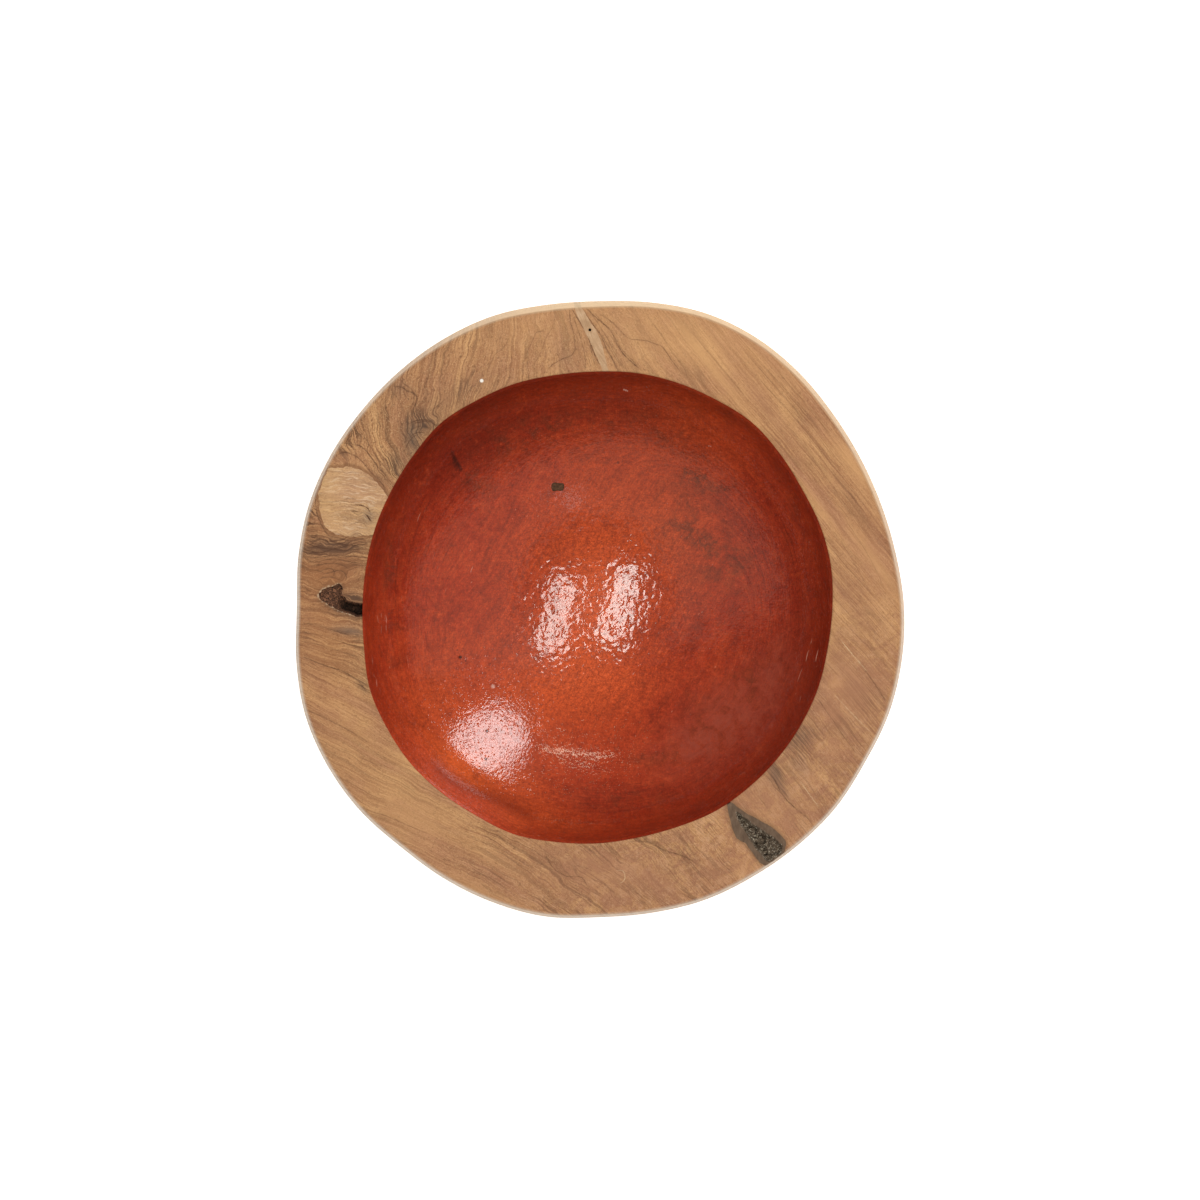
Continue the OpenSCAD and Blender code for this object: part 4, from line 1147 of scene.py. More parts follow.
def lacquer():
    """Brushed red lacquer over carved wood: mottled colour under a clear gloss with orange peel."""
    k = Look("red_lacquer")
    place = k.scale(k.place(), 1000.0)
    cloud = k.noise(place, 0.030, 4.0, 0.6)
    mottle = k.noise(place, 0.13, 4.0, 0.65, 0.6)
    small = k.noise(place, 0.55, 3.0, 0.65)
    tiny = k.noise(place, 1.5, 3.0, 0.75)
    across, along, _ = k.split(k.attr("sweep"))
    hairs = k.noise(k.join(k.mul(across, 1.25), k.mul(along, 0.10), 0.0), 1.0, 4.0, 0.75)
    brushed = k.noise(k.join(k.mul(across, 0.22), k.mul(along, 0.035), 5.0), 1.0, 4.0, 0.6)
    glow, dusk, stain = k.split(k.attr("shade"))
    deep, spot, crease_shade = k.split(k.attr("tone"))
    rough_zone = k.attr("pebble", "Fac")
    px0, py0, _ = k.split(place)
    col = k.ramp(mottle, (0.30, rgb(136, 37, 16)), (0.46, rgb(155, 46, 20)), (0.60, rgb(164, 53, 23)),
                 (0.76, rgb(178, 65, 29)))
    col = k.mix(k.mul(k.step(cloud, 0.46, 0.66), 0.40), col, rgb(174, 60, 25))
    col = k.mix(k.mul(k.step(cloud, 0.46, 0.30), 0.40), col, rgb(130, 35, 16))
    col = k.mix(k.mul(k.step(brushed, 0.50, 0.34), 0.50), col, rgb(118, 36, 19))
    col = k.mix(k.mul(k.step(brushed, 0.52, 0.68), 0.38), col, rgb(180, 68, 32))
    # painted shade: the wall under the rim painted darker red where it gets less light
    col = k.mix(k.math("MULTIPLY", deep, k.add(0.60, k.mul(mottle, 0.8)), clamp=True), col, rgb(104, 24, 10))
    # painted light: brighter orange in the middle of the floor and at the lower left, where the light falls
    col = k.mix(k.math("MULTIPLY", glow, k.add(0.35, k.mul(small, 0.9)), clamp=True), col, rgb(202, 83, 31))
    # painted light round the middle highlights and at the lower left, and a painted sheen along the lower-left mouth
    painted_light, sheen, _ = k.split(k.attr("painted_light_sheen"))
    col = k.mix(k.math("MULTIPLY", painted_light, k.add(0.35, k.mul(small, 0.7)), clamp=True), col, rgb(226, 98, 48))
    col = k.mix(k.math("MULTIPLY", sheen, k.add(0.50, k.mul(mottle, 0.8)), clamp=True), col, rgb(204, 82, 62))
    feather = k.noise(k.join(k.add(px0, k.mul(small, 5.0)), k.add(py0, k.mul(mottle, 9.0)), 0.0), 0.12, 5.0, 0.72, 0.8)
    col = k.mix(k.mul(k.step(feather, 0.55, 0.70), 0.34), col, rgb(104, 36, 20))
    col = k.mix(k.mul(k.step(feather, 0.45, 0.31), 0.30), col, rgb(190, 76, 38))
    cloudy = k.add(k.step(feather, 0.42, 0.62, 0.05, 1.5), k.mul(k.add(mottle, -0.5), 1.2))
    col = k.mix(k.math("MULTIPLY", dusk, cloudy, clamp=True), col, rgb(90, 46, 28))
    # fine unevenness of pigment: lighter and darker, of one hue
    weave = k.add(k.noise(k.join(k.mul(px0, 1.30), k.mul(py0, 0.17), 3.0), 1.0, 3.0, 0.7),
                  k.noise(k.join(k.mul(px0, 0.17), k.mul(py0, 1.30), 9.0), 1.0, 3.0, 0.7))
    shade = k.add(k.mul(k.add(hairs, -0.5), 0.95), k.mul(k.add(small, -0.5), 0.85))
    shade = k.add(shade, k.mul(k.add(weave, -1.0), 0.42))
    grain = k.mul(k.add(tiny, -0.5), k.step(rough_zone, 0.0, 1.0, 1.15, 1.75))
    col = k.mix(1.0, col, k.math("ADD", 1.0, k.add(shade, grain), clamp=False), "MULTIPLY")
    crumple = k.cells(k.join(k.add(px0, k.mul(small, 2.2)), k.add(py0, k.mul(mottle, 3.0)), 0.0), 0.50, "DISTANCE_TO_EDGE")
    col = k.mix(k.mul(k.step(crumple, 0.11, 0.01), k.add(0.10, k.mul(rough_zone, 0.22))), col, rgb(96, 32, 16))
    col = k.mix(k.mul(k.step(small, 0.60, 0.74), k.add(0.18, k.mul(rough_zone, 0.30))), col, rgb(206, 92, 50))
    # painted shade along the crease at the lower left
    col = k.mix(k.math("MULTIPLY", crease_shade, k.add(0.4, k.mul(small, 1.0)), clamp=True), col, rgb(96, 25, 12))
    col = k.mix(k.math("MULTIPLY", stain, k.add(0.5, k.mul(small, 1.0)), clamp=True), col, rgb(52, 28, 19))
    # small pale flecks in the coat, pale nicks and dark ones
    mote = k.cells(k.join(k.mul(across, 0.30), k.mul(along, 0.11), 0.0), 1.0, "F1")
    mote = k.mul(k.step(mote, 0.085, 0.035), k.step(k.noise(place, 0.11, 1.0, 0.5), 0.49, 0.56))
    col = k.mix(k.mul(mote, 0.42), col, rgb(212, 140, 114))
    col = k.mix(k.math("MULTIPLY", spot, k.step(feather, 0.62, 0.38, 0.35, 1.25), clamp=True), col, rgb(146, 66, 50))
    px, py, _ = k.split(place)
    flat = k.join(px, py, 0.0)
    holes = None
    for u, w, radius, strength in DOTS:
        on = k.dot(flat, plan([(u, w)])[0], radius, 0.35 if radius < 0.8 else 0.75)
        col = k.mix(k.mul(on, abs(strength)), col, rgb(224, 190, 178) if strength > 0 else rgb(48, 20, 14))
        if strength < -0.7:
            holes = on if holes is None else k.add(holes, on)
    d, strength, half = k.split(k.attr("nick"))
    nick = k.step(k.math("DIVIDE", k.math("ABSOLUTE", k.add(d, k.mul(k.add(small, -0.5), 0.5))), k.add(half, 0.01)), 1.5, 0.5)
    nick = k.mul(nick, strength)
    col = k.mix(k.math("MULTIPLY", nick, 1.0, clamp=True), col, rgb(228, 180, 160))
    col = k.mix(k.math("MULTIPLY", nick, -1.0, clamp=True), col, rgb(46, 24, 15))
    k.put(k.bsdf.inputs["Base Color"], col)
    k.put(k.bsdf.inputs["Roughness"], k.step(mottle, 0.3, 0.7, 0.40, 0.55))
    k.bsdf.inputs["Specular IOR Level"].default_value = 0.12
    k.bsdf.inputs["Coat Weight"].default_value = 1.0
    k.bsdf.inputs["Coat Roughness"].default_value = 0.092
    k.bsdf.inputs["Coat IOR"].default_value = 1.5
    # orange peel: pebbles in the middle, a fine prickle all over, and small pits
    coarse = k.mul(k.noise(place, 0.30, 1.0, 0.45, 0.5), k.add(0.30, k.mul(rough_zone, 1.60)))
    cell = k.cells(place, 0.40, "SMOOTH_F1")
    dent = k.mul(k.step(cell, 0.46, 0.10), k.step(k.noise(place, 0.20, 1.0, 0.5), 0.42, 0.56))
    prick = k.mul(k.step(k.cells(place, 0.85, "F1"), 0.42, 0.10), k.step(k.noise(place, 0.6, 1.0, 0.5), 0.40, 0.58))
    fine = k.mul(prick, k.step(rough_zone, 0.0, 1.0, -0.50, -0.12))
    fine = k.add(fine, k.mul(k.noise(place, 0.62, 1.0, 0.5, 0.4), k.step(rough_zone, 0.0, 1.0, 0.85, 0.10)))
    fine = k.add(fine, k.mul(k.noise(place, 1.25, 1.0, 0.5), k.step(rough_zone, 0.0, 1.0, 0.26, 0.06)))
    fine = k.add(fine, k.mul(tiny, k.step(rough_zone, 0.0, 1.0, 0.07, 0.03)))
    peel = k.add(coarse, k.mul(dent, k.mul(rough_zone, -0.28)))
    sleek = k.attr("sleek", "Fac")
    ripple = k.noise(k.join(k.mul(px0, 0.95), k.mul(py0, 0.90), 21.0), 1.0, 2.0, 0.5)
    peel = k.add(peel, k.mul(fine, sleek))
    peel = k.add(peel, k.mul(ripple, k.mul(k.math("SUBTRACT", 1.0, sleek, clamp=True), 0.10)))
    peel = k.add(peel, k.mul(holes, -2.0))
    normal = k.bump(peel, 0.00010, 1.0)
    k.put(k.bsdf.inputs["Normal"], normal)
    k.put(k.bsdf.inputs["Coat Normal"], normal)
    return k


def bark_look(name, light, mid, dark, size, curly):
    """Rough bark: lumps and grit, or curled fibres with dark gaps between them."""
    k = Look(name)
    place = k.scale(k.place(), 1000.0)
    sink = k.attr("sink", "Fac")
    lumps = k.noise(place, 0.55 * size, 4.0, 0.65)
    grit = k.noise(place, 2.2 * size, 3.0, 0.6)
    if curly:
        u, w, _ = k.split(k.attr("curl"))
        bend = k.mul(k.add(k.noise(place, 0.26, 2.0, 0.55), -0.5), 7.0)
        strand = k.noise(k.join(k.mul(u, 0.22), k.mul(k.add(w, bend), 0.55), 0.0), 1.0, 2.0, 0.55)
        gap = k.step(k.math("ABSOLUTE", k.add(k.math("FRACT", k.mul(strand, 10.0)), -0.5)), 0.26, 0.46)
        col = k.ramp(strand, (0.30, mid), (0.44, light), (0.56, mid), (0.70, light))
        col = k.mix(k.mul(gap, 0.92), col, dark)
        col = k.mix(k.mul(k.step(grit, 0.52, 0.68), 0.25), col, light)
        height = k.add(k.mul(strand, 1.4), k.add(k.mul(gap, -1.2), k.mul(grit, 0.3)))
    else:
        cell = k.cells(place, 0.9 * size, "F1")
        col = k.ramp(k.add(k.mul(lumps, 0.7), k.mul(grit, 0.3)), (0.32, dark), (0.50, mid), (0.66, light))
        col = k.mix(k.mul(k.step(cell, 0.40, 0.75), 0.45), col, dark)
        flake = k.noise(place, 1.05, 3.0, 0.65, 0.6)
        col = k.mix(k.mul(k.step(flake, 0.57, 0.64), 0.80), col, rgb(196, 184, 166))
        col = k.mix(k.mul(k.step(flake, 0.46, 0.36), 0.55), col, dark)
        height = k.add(k.mul(lumps, 0.8), k.mul(grit, 0.6))
    # painted shade: darker the deeper into the pocket
    col = k.mix(k.mul(sink, 0.74 if curly else 0.85), col, rgb(28, 20, 15))
    margin = k.attr("margin", "Fac")
    smooth_col = k.ramp(k.noise(k.join(k.mul(k.split(place)[0], 0.5), k.mul(k.split(place)[1], 0.2), 0.0), 1.0, 3.0, 0.6),
                        (0.3, rgb(94, 74, 60)), (0.7, rgb(118, 96, 79)))
    col = k.mix(margin, col, smooth_col)
    k.put(k.bsdf.inputs["Base Color"], col)
    k.put(k.bsdf.inputs["Roughness"], k.step(grit, 0.3, 0.7, 0.74, 0.95))
    k.bsdf.inputs["Specular IOR Level"].default_value = 0.22
    k.put(k.bsdf.inputs["Normal"], k.bump(height, 0.0004, 0.9))
    return k


def filler_look():
    k = Look("crack_filler")
    place = k.scale(k.place(), 1000.0)
    cloud = k.noise(place, 0.16, 3.0, 0.6)
    grit = k.noise(place, 1.3, 3.0, 0.6)
    g, along, depth = k.split(k.attr("grain"))
    wipe = k.noise(k.join(k.mul(g, 1.4), k.mul(along, 0.09), 0.0), 1.0, 2.0, 0.6)
    col = k.ramp(cloud, (0.32, rgb(172, 136, 103)), (0.52, rgb(186, 149, 115)), (0.70, rgb(198, 163, 131)))
    col = k.mix(k.mul(k.step(wipe, 0.55, 0.34), 0.45), col, rgb(150, 114, 80))
    col = k.mix(k.mul(k.step(grit, 0.58, 0.74), 0.35), col, rgb(134, 102, 72))
    col = k.mix(k.mul(k.step(grit, 0.42, 0.26), 0.30), col, rgb(204, 178, 144))
    # painted highlight on the eased arris
    col = k.mix(k.mul(k.split(k.attr("edge"))[0], 0.55), col, rgb(222, 198, 166))
    # painted shade down the pin hole
    col = k.mix(k.attr("pinhole", "Fac"), col, rgb(22, 15, 11))
    k.put(k.bsdf.inputs["Base Color"], col)
    k.put(k.bsdf.inputs["Roughness"], k.step(grit, 0.3, 0.7, 0.58, 0.76))
    k.bsdf.inputs["Specular IOR Level"].default_value = 0.30
    k.put(k.bsdf.inputs["Normal"], k.bump(k.add(grit, k.mul(wipe, 0.6)), 0.00012, 0.8))
    return k


# fine scratches in the lacquer: strength (below zero is dark), half width in mm, points
NICKS = [
    (0.60, 0.13, [(807.8, 661), (808.6, 656.5), (809.8, 652)]),
    (0.65, 0.14, [(816.6, 661.5), (817.8, 656), (818.9, 651)]),
    (0.40, 0.11, [(812.6, 643), (813.2, 640.5)]),
    (0.34, 0.12, [(799.4, 682), (801.4, 675.5), (804.0, 669.2)]),
    (0.30, 0.10, [(801.0, 701), (802.0, 697.4)]),
    (0.28, 0.20, [(384.0, 616.5), (384.4, 620), (384.3, 623.5)]),
    (0.15, 0.18, [(379.6, 614), (379.4, 617.5), (379.0, 621)]),
    (0.15, 0.18, [(375.6, 615.5), (376.2, 619.5), (376.8, 623)]),
    (0.14, 0.18, [(384.4, 625), (384.2, 628.5), (384.2, 631.5)]),
    (0.13, 0.18, [(379.8, 626), (379.6, 629.5), (379.5, 632.5)]),
    (0.18, 0.18, [(371.4, 659.5), (371.7, 662), (371.9, 664.5)]),
    (0.22, 0.18, [(373.2, 675.5), (373.6, 678), (373.8, 680.5)]),
    (0.30, 0.22, [(375.5, 680.5), (375.8, 683.5), (376.0, 686.5)]),
    (0.26, 0.12, [(418.0, 512.5), (416.4, 516), (415.3, 520)]),
    (0.38, 0.13, [(470.0, 566.5), (468.9, 569), (468.3, 571.6)]),
    (-0.34, 0.16, [(451.5, 456), (454.0, 462), (455.5, 468)]),
]


def lining_fields(obj):
    v = coords(obj)
    d = v[:, :2] - MID
    r = np.hypot(d[:, 0], d[:, 1])
    a = np.degrees(np.arctan2(d[:, 1], d[:, 0]))
    q = np.column_stack([v[:, :2], np.zeros(len(v))])
    # strokes follow the rim near it and cross the floor in the middle
    turn = np.radians(a) * 110.0
    w = smooth(r, 70, 108)
    line = d @ np.array([0.5, 0.866])
    cross = d @ np.array([-0.866, 0.5])
    across = (1 - w) * cross + w * r + 3.0 * fbm(q, 22, 2, 95)
    along = (1 - w) * line + w * turn
    add_vector(obj, "sweep", np.column_stack([across, along, np.zeros(len(v))]))

    def blob(u, s, rx, ry, deg=0.0):
        c = plan([(u, s)])[0]
        t = math.radians(deg)
        dx, dy = v[:, 0] - c[0], v[:, 1] - c[1]
        x = (dx * math.cos(t) + dy * math.sin(t)) / (rx * 0.4926)
        y = (-dx * math.sin(t) + dy * math.cos(t)) / (ry * 0.4926)
        return np.exp(-(x * x + y * y))

    # glow is painted light: brighter where the light falls, in the middle of the floor, at the lower left and on the
    # band outside the crease
    glow = 0.60 * blob(470, 775, 60, 45, 30) + 0.66 * blob(592, 575, 74, 120, -10) + 0.50 * blob(530, 700, 90, 50, 10)
    glow += 0.40 * blob(430, 700, 34, 60, -12) + 0.30 * blob(680, 530, 44, 80) + 0.22 * blob(700, 425, 60, 36, -40)
    glow += 0.40 * blob(530, 818, 50, 16, -14)
    dusk = 0.48 * blob(697, 476, 22, 18, -35) + 0.28 * blob(727, 487, 14, 10) + 0.42 * blob(693, 533, 34, 22, -30)
    dusk += 0.30 * blob(728, 562, 34, 28) + 0.16 * blob(600, 425, 130, 26) + 0.20 * blob(660, 440, 30, 18)
    dusk += 0.34 * blob(390, 566, 9, 24, -8) + 0.20 * blob(480, 492, 16, 12) + 0.24 * blob(392, 640, 8, 26)
    dusk += 0.34 * blob(745, 690, 44, 26, 40) + 0.26 * blob(700, 730, 40, 22, 20) + 0.30 * blob(655, 760, 26, 10)
    dusk += 0.30 * blob(520, 440, 46, 14, 20) + 0.36 * blob(470, 478, 16, 10, -40) + 0.20 * blob(620, 800, 50, 14)
    # deep is painted shade: the wall under the rim darker red where it gets less light, less so at the left, lower
    # left and upper right
    deep = smooth(r, 82, 106) * (0.52 - 0.48 * bump_at(a, 198, 32) - 0.22 * bump_at(a, 228, 18) - 0.28 * bump_at(a, 255, 24)
                                 - 0.34 * bump_at(a, 45, 28) - 0.10 * bump_at(a, 5, 20) + 0.08 * bump_at(a, 135, 20))
    deep += 0.18 * smooth(r, 104, 117) * (1 - bump_at(a, 226, 20))
    deep += 0.30 * blob(492, 452, 60, 26, 24) + 0.16 * blob(650, 425, 60, 22, -16) + 0.14 * blob(735, 640, 30, 30)
    off, along_crease, total = to_curve(v[:, :2], CREASE)
    ends = smooth(along_crease, 0.0, 14.0) * smooth(total - along_crease, 0.0, 10.0)
    # painted shade along the crease at the lower left
    crease_shade = 0.22 * ends * np.exp(-(off / 1.9) ** 2) + 0.34 * ends * np.exp(-((off - 0.8) / 4.2) ** 2)
    # painted light on the flatter band outside the crease
    glow += 0.45 * ends * np.exp(-((off + 6.0) / 3.5) ** 2) + 0.55 * blob(455, 768, 30, 20, -40)
    glow += 0.35 * blob(520, 785, 46, 18, -20)
    spot = 0.55 * blob(735, 715, 60, 40, 38) + 0.40 * blob(690, 752, 44, 24, 20) + 0.30 * blob(775, 660, 24, 40, -10)
    spot += 0.25 * blob(440, 795, 24, 6, -42)
    add_vector(obj, "tone", np.column_stack([deep, spot, crease_shade]))
    nicks = np.zeros((len(v), 3))
    nicks[:, 0] = 9.0
    for strength, half, points in NICKS:
        path = curve_through(plan(points), 0.6)
        gap, run, length = to_curve(v[:, :2], path)
        hit = (np.abs(gap) < 1.7) & (run > -1.5) & (run < length + 1.5)
        taper = smooth(run, -0.8, 0.25 * length) * smooth(length - run, -0.8, 0.25 * length)
        nicks[hit, 0], nicks[hit, 1], nicks[hit, 2] = gap[hit], strength * taper[hit], half
    add_vector(obj, "nick", nicks)
    add_float(obj, "pebble", smooth(-r, -70, -36))
    add_float(obj, "sleek", np.clip(1.0 - 1.4 * blob(582, 756, 54, 23, -6), 0.66, 1.0))
    # painted light round the middle highlights and at the lower left, and a painted sheen along the lower-left mouth
    painted_light = 0.62 * blob(592, 612, 32, 62, -8) + 0.30 * blob(600, 682, 66, 26) + 0.50 * blob(452, 772, 26, 18, -40)
    sheen = 0.70 * smooth(r, 106, 114) * bump_at(a, 233, 15)
    add_vector(obj, "painted_light_sheen", np.column_stack([painted_light, sheen, np.zeros(len(v))]))
    stain = np.zeros(len(v))
    for u, s, rx, ry, sunk in PITS:
        stain += min(1.0, 1.3 * sunk) * blob(u, s, rx / 0.4926, ry / 0.4926)
    add_vector(obj, "shade", np.column_stack([glow, dusk, stain]))


def bark_fields(obj, outline, deepest, with_margin):
    v = coords(obj)
    depth = H - v[:, 2]
    add_float(obj, "sink", smooth(depth, 0.35 * deepest, deepest))
    u = (v[:, 0] + 130.0) * 0.93 + (v[:, 1] - 5.0) * -0.37
    w = (v[:, 0] + 130.0) * 0.37 + (v[:, 1] - 5.0) * 0.93
    add_vector(obj, "curl", np.column_stack([u, w, np.zeros(len(v))]))
    margin = np.zeros(len(v))
    if with_margin:
        margin = smooth(from_outline(v[:, :2], grainy_edge), -0.2, 0.6) * (depth < 1.2)
    add_float(obj, "margin", margin)


lining_fields(lining)
bark_fields(dark_fill, dark_edge, 6.2, False)
# painted shade down the pin hole in the filler
at_pin = coords(strip)
near_pin = np.hypot(at_pin[:, 0] + 5.0, at_pin[:, 1] - 137.5) < 1.4
add_float(strip, "pinhole", near_pin * smooth(H - at_pin[:, 2], 0.05, 0.6))
bark_fields(bark_fill, fissure_edge, 6.8, True)

def wall_radius(z, deg):
    """Radius of the outer wall at a height, before it was carved uneven."""
    rim = around(OUTER, deg)
    s0, c0 = math.sin(math.radians(12)), math.cos(math.radians(12))
    p = np.arccos(np.clip(c0 * (1 - z / BELLY), 0.0, 1.0))
    own = rim + (OUTER_MEAN - rim) * 0.6 * (1 - (p - math.radians(12)) / math.radians(78))
    return np.where(z >= BELLY, rim, BASE_R + (own - BASE_R) * (np.sin(p) - s0) / (1 - s0))


def corners(obj):
    """Vertex numbers of each triangle, their places in mm, and each triangle's middle and normal."""
    mesh = obj.data
    index = np.empty(len(mesh.loops), dtype=np.int32)
    mesh.loops.foreach_get("vertex_index", index)
    p = coords(obj)[index].reshape(-1, 3, 3)
    n = np.cross(p[:, 1] - p[:, 0], p[:, 2] - p[:, 0])
    n /= np.linalg.norm(n, axis=1)[:, None] + 1e-12
    return p, p.mean(axis=1), n


def keep_layout(obj, uv):
    layer = obj.data.uv_layers.new(name="OFBake")
    layer.data.foreach_set("uv", np.clip(uv, 0.001, 0.999).astype(np.float32).ravel())


def lay_out_block(obj):
    """Rim and foot seen from above and below, the wall in four strips, the covered hollow small."""
    sheet = 388.0
    p, c, n = corners(obj)
    uv = p[:, :, :2] + 156.0
    a = np.degrees(np.arctan2(c[:, 1], c[:, 0])) % 360.0
    r = np.hypot(c[:, 0], c[:, 1])
    reach = np.hypot(c[:, 0] - MID[0], c[:, 1] - MID[1])
    mouth = around(MOUTH, np.degrees(np.arctan2(c[:, 1] - MID[1], c[:, 0] - MID[0])))
    covered = (reach < mouth + 0.02) & (c[:, 2] > 20.0) & (c[:, 2] < H - 0.4)
    uv[covered] = 352.0 + p[covered][:, :, :2] * 0.26
    wall = (np.abs(r - wall_radius(c[:, 2], a)) < 3.0) & (c[:, 2] < H - 4.0) & ~((c[:, 2] < 0.3) & (n[:, 2] < -0.9)) & ~covered
    q = p[wall]
    turn = np.degrees(np.arctan2(q[:, :, 1], q[:, :, 0]))
    turn = a[wall][:, None] + (turn - a[wall][:, None] + 180.0) % 360.0 - 180.0
    part = np.floor(a[wall] / 90.0)
    along = (turn - part[:, None] * 90.0) / 90.0 * 148.0
    rise = (np.hypot(q[:, :, 0], q[:, :, 1]) - BASE_R + q[:, :, 2]) / 166.0 * 66.0
    start = np.where(part % 2 == 0, 3.0, 159.0)[:, None]
    side = (part < 2)[:, None]
    uv[wall] = np.stack([np.where(side, 318.0 + rise, start + along), np.where(side, start + along, 318.0 + rise)], axis=-1)
    keep_layout(obj, uv / sheet)


def lay_out_lining(obj):
    """The coat unrolled from its middle, its hidden back small in a corner."""
    p, c, n = corners(obj)
    front = np.sum(n * (np.array([MID[0], MID[1], 230.0]) - c), axis=1) > 0
    d = p[:, :, :2] - MID
    r = np.hypot(d[:, :, 0], d[:, :, 1])
    a = np.degrees(np.arctan2(d[:, :, 1], d[:, :, 0]))
    drop_in = H - LIP - p[:, :, 2]
    bend_r = FLOOR * math.sin(BEND)
    far = bend_r + np.hypot(np.maximum(r - bend_r, 0.0), np.maximum(TURN * (math.cos(BEND) - math.cos(LEAN)) - drop_in, 0.0)) * 1.06
    run = np.where(r < bend_r, FLOOR * np.arcsin(np.clip(r / FLOOR, 0, 1)) * bend_r / (FLOOR * BEND), far)
    flat = np.stack([np.cos(np.radians(a)), np.sin(np.radians(a))], axis=-1) * run[:, :, None]
    uv = 0.5 + flat / (2.06 * run.max())
    uv[~front] = 0.062 + d[~front] / 119.5 * 0.055
    keep_layout(obj, uv)


lay_out_block(body)
lay_out_lining(lining)

looks = [
    (body, root, "bowl_body", "root_wood"),
    (knot, branch, "pale_knot", "knot_wood"),
    (strip, filler_look(), "crack_filler", "filler"),
    (dark_fill, bark_look("knot_bark", rgb(128, 86, 63), rgb(89, 58, 43), rgb(36, 23, 18), 0.8, True), "dark_knot_bark", "bark"),
    (bark_fill, bark_look("pocket_bark", rgb(130, 113, 95), rgb(94, 79, 65), rgb(48, 39, 32), 1.25, False), "ingrown_bark", "bark"),
    (lining, lacquer(), "lacquer_lining", "red_lacquer"),
]
for obj, look, node, slot in looks:
    obj.data.materials.clear()
    obj.data.materials.append(look.mat)
    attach(obj, "root")
    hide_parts(node)

# ------------------------------------------------------------------ stage, light, camera
bm = bmesh.new()
bmesh.ops.create_grid(bm, x_segments=1, y_segments=1, size=6.0)
floor_mesh = bpy.data.meshes.new("floor")
bm.to_mesh(floor_mesh)
bm.free()
floor = bpy.data.objects.new("floor", floor_mesh)
scene.collection.objects.link(floor)
white = Look("floor_white")
white.bsdf.inputs["Base Color"].default_value = (0.86, 0.86, 0.86, 1.0)
white.bsdf.inputs["Roughness"].default_value = 0.9
white.bsdf.inputs["Specular IOR Level"].default_value = 0.0
white.bsdf.inputs["Emission Color"].default_value = (1.0, 1.0, 1.0, 1.0)
white.bsdf.inputs["Emission Strength"].default_value = 0.70
floor.data.materials.append(white.mat)
floor.location.z = -0.0001
under = white.mat.node_tree
clear = under.nodes.new("ShaderNodeBsdfTransparent")
sided = under.nodes.new("ShaderNodeMixShader")
under.links.new(under.nodes.new("ShaderNodeNewGeometry").outputs["Backfacing"], sided.inputs[0])
under.links.new(white.bsdf.outputs[0], sided.inputs[1])
under.links.new(clear.outputs[0], sided.inputs[2])
for node in under.nodes:
    if node.type == "OUTPUT_MATERIAL":
        under.links.new(sided.outputs[0], node.inputs["Surface"])

# Round the camera the room is dark; a pale ceiling and front wall show in the gloss to the sides and the front.
world = bpy.data.worlds.new("studio")
world.use_nodes = True
wt = world.node_tree
sky = wt.nodes["Background"]


def world_math(op, a, b=0.0, c=0.0, clamp=False):
    n = wt.nodes.new("ShaderNodeMath")
    n.operation = op
    n.use_clamp = clamp
    for socket, value in zip(n.inputs, (a, b, c)):
        if isinstance(value, bpy.types.NodeSocket):
            wt.links.new(value, socket)
        else:
            socket.default_value = value
    return n.outputs[0]


def world_step(x, lo, hi):
    n = wt.nodes.new("ShaderNodeMapRange")
    n.interpolation_type = "SMOOTHSTEP"
    wt.links.new(x, n.inputs[0])
    n.inputs[1].default_value, n.inputs[2].default_value = lo, hi
    return n.outputs[0]


axes = wt.nodes.new("ShaderNodeSeparateXYZ")
wt.links.new(wt.nodes.new("ShaderNodeTexCoord").outputs["Generated"], axes.inputs[0])
up = world_math("MAXIMUM", axes.outputs[2], 0.02)
tx = world_math("DIVIDE", axes.outputs[0], up)
ty = world_math("DIVIDE", axes.outputs[1], up)
right = world_math("DIVIDE", world_math("MAXIMUM", tx, 0.0), 1.9)
left = world_math("DIVIDE", world_math("MINIMUM", tx, 0.0), 1.75)
ahead = world_math("DIVIDE", ty, 1.42)
across = world_math("ADD", world_math("MULTIPLY", right, right), world_math("MULTIPLY", left, left))
sides = world_step(world_math("ADD", across, world_math("MULTIPLY", ahead, ahead)), 1.35, 0.75)
front = world_step(world_math("SUBTRACT", ty, world_math("MULTIPLY", tx, 0.17)), 0.42, 0.20)
hx = world_math("DIVIDE", tx, 0.45)
hy = world_math("DIVIDE", world_math("ADD", ty, 0.08), 0.46)
hole = world_step(world_math("ADD", world_math("MULTIPLY", hx, hx), world_math("MULTIPLY", hy, hy)), 0.8, 1.25)
slant = world_math("SUBTRACT", world_math("MULTIPLY", tx, 0.5), world_math("MULTIPLY", ty, 0.866))
sides = world_math("MULTIPLY", sides, world_step(slant, 1.42, 1.10))
pale = world_math("MULTIPLY", world_math("MULTIPLY", sides, front), hole)
level = world_math("ADD", world_math("MULTIPLY", pale, 0.52), 0.035)
path = wt.nodes.new("ShaderNodeLightPath")
seen, fill = path.outputs["Is Camera Ray"], path.outputs["Is Diffuse Ray"]
level = world_math("ADD", level, world_math("MULTIPLY", fill, 0.370))
level = world_math("ADD", world_math("MULTIPLY", level, world_math("SUBTRACT", 1.0, seen)), seen)
wt.links.new(level, sky.inputs["Strength"])
tint = wt.nodes.new("ShaderNodeMix")
tint.data_type = "RGBA"
wt.links.new(pale, tint.inputs[0])
tint.inputs[6].default_value = (1.0, 0.99, 0.975, 1.0)
tint.inputs[7].default_value = (1.0, 0.93, 0.80, 1.0)
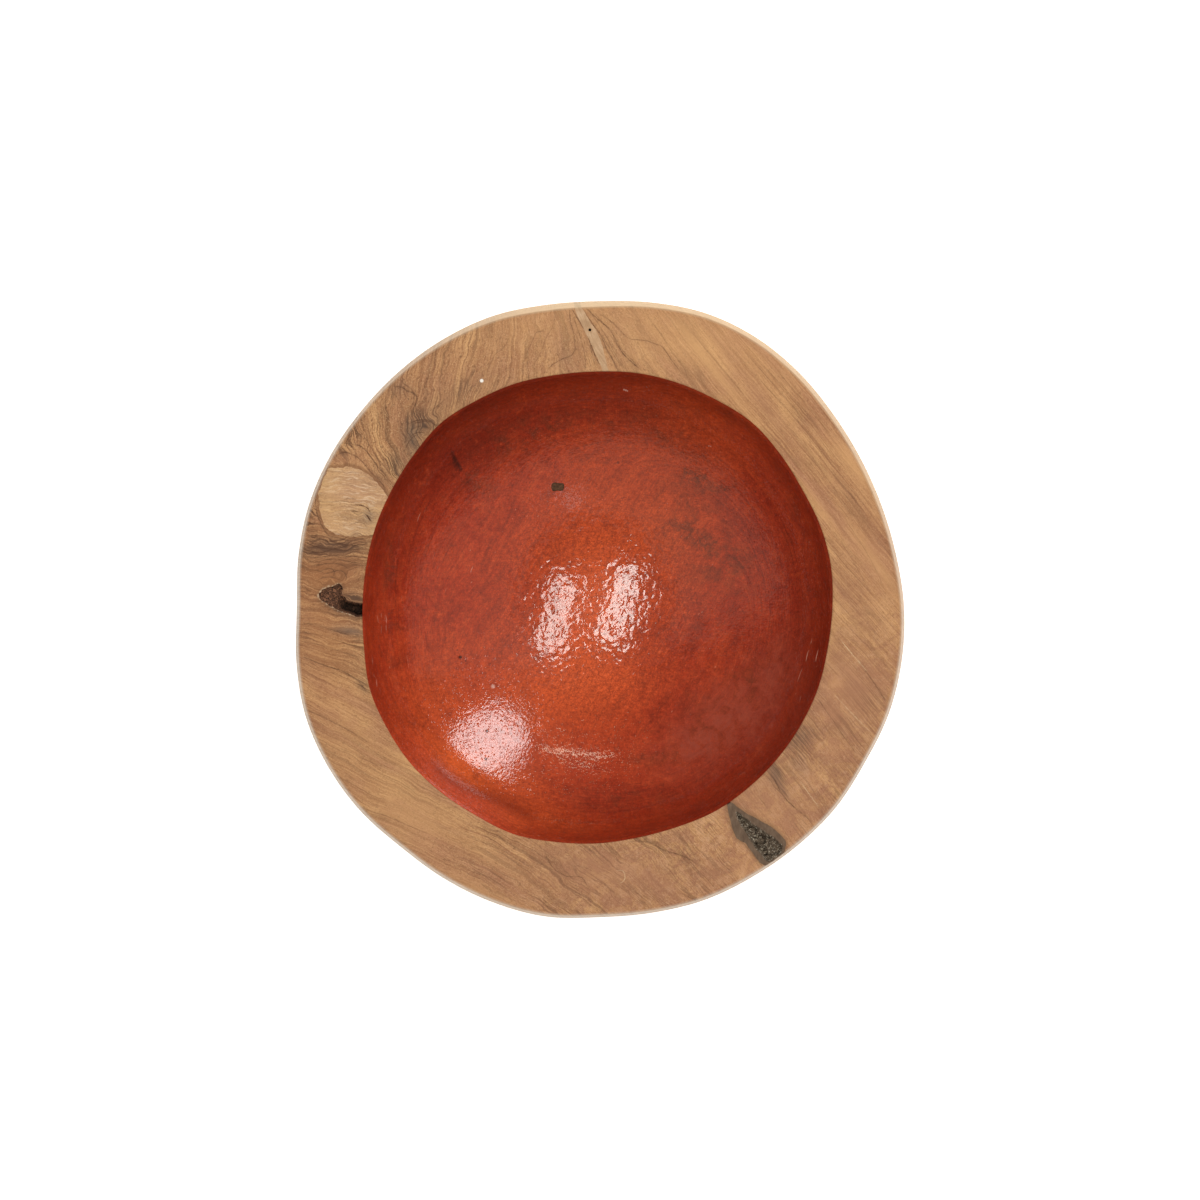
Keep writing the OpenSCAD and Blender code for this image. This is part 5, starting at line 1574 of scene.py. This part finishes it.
wt.links.new(tint.outputs[2], sky.inputs["Color"])
scene.world = world


def softbox(name, at, aim, width, length, power, up=(0.0, 1.0, 0.0), shape="RECTANGLE", colour=(1.0, 1.0, 1.0)):
    """An area light that shines from at towards aim, its length lying along up."""
    data = bpy.data.lights.new(name, "AREA")
    data.shape = shape
    data.size, data.size_y = width, length
    data.energy = power
    data.color = colour
    obj = bpy.data.objects.new(name, data)
    scene.collection.objects.link(obj)
    z = (Vector(at) - Vector(aim)).normalized()
    y = Vector(up)
    y = (y - y.dot(z) * z).normalized()
    x = y.cross(z)
    turn = Matrix((x, y, z)).transposed().to_4x4()
    turn.translation = Vector(at)
    obj.matrix_world = turn
    obj.visible_camera = False
    return obj


floor_z = 0.037
lean = (math.sin(math.radians(15)), math.cos(math.radians(15)), 0.0)
softbox("strip_right", (0.312, 0.07, 1.62), (0.0, 0.0, floor_z), 0.19, 0.62, 4.5, lean, colour=(0.95, 1.0, 0.95))
softbox("strip_left", (-0.212, -0.005, 1.64), (0.0, 0.0, floor_z), 0.19, 0.64, 5.3, lean, colour=(0.95, 1.0, 0.95))
softbox("key", (0.735, 0.95, 0.98), (-0.05, -0.06, 0.06), 0.335, 0.72, 6.6, (0, 0, 1), "ELLIPSE")
softbox("slit", (0.14, 1.32, 1.36), (0.0, -0.07, 0.05), 0.76, 0.042, 1.75, (-0.1, 0, 1), "ELLIPSE", (1.0, 0.90, 0.68))
softbox("glint", (0.25, -1.02, 1.62), (0.0, 0.0, floor_z), 0.20, 0.12, 0.16)

camera = bpy.data.cameras.new("camera")
camera.sensor_width = 36.0
distance = 2.2
camera.lens = 36.0 * distance / (1200 * 0.4926 * MM)
camera.clip_end = 50
eye = bpy.data.objects.new("camera", camera)
scene.collection.objects.link(eye)
eye.location = (0.0, 9 * 0.4926 * MM, H * MM + distance)
eye.rotation_euler = (0.0, 0.0, 0.0)
scene.camera = eye

scene.view_settings.view_transform = "Standard"
scene.view_settings.look = "None"
scene.view_settings.exposure = 0.0
scene.view_settings.gamma = 1.0
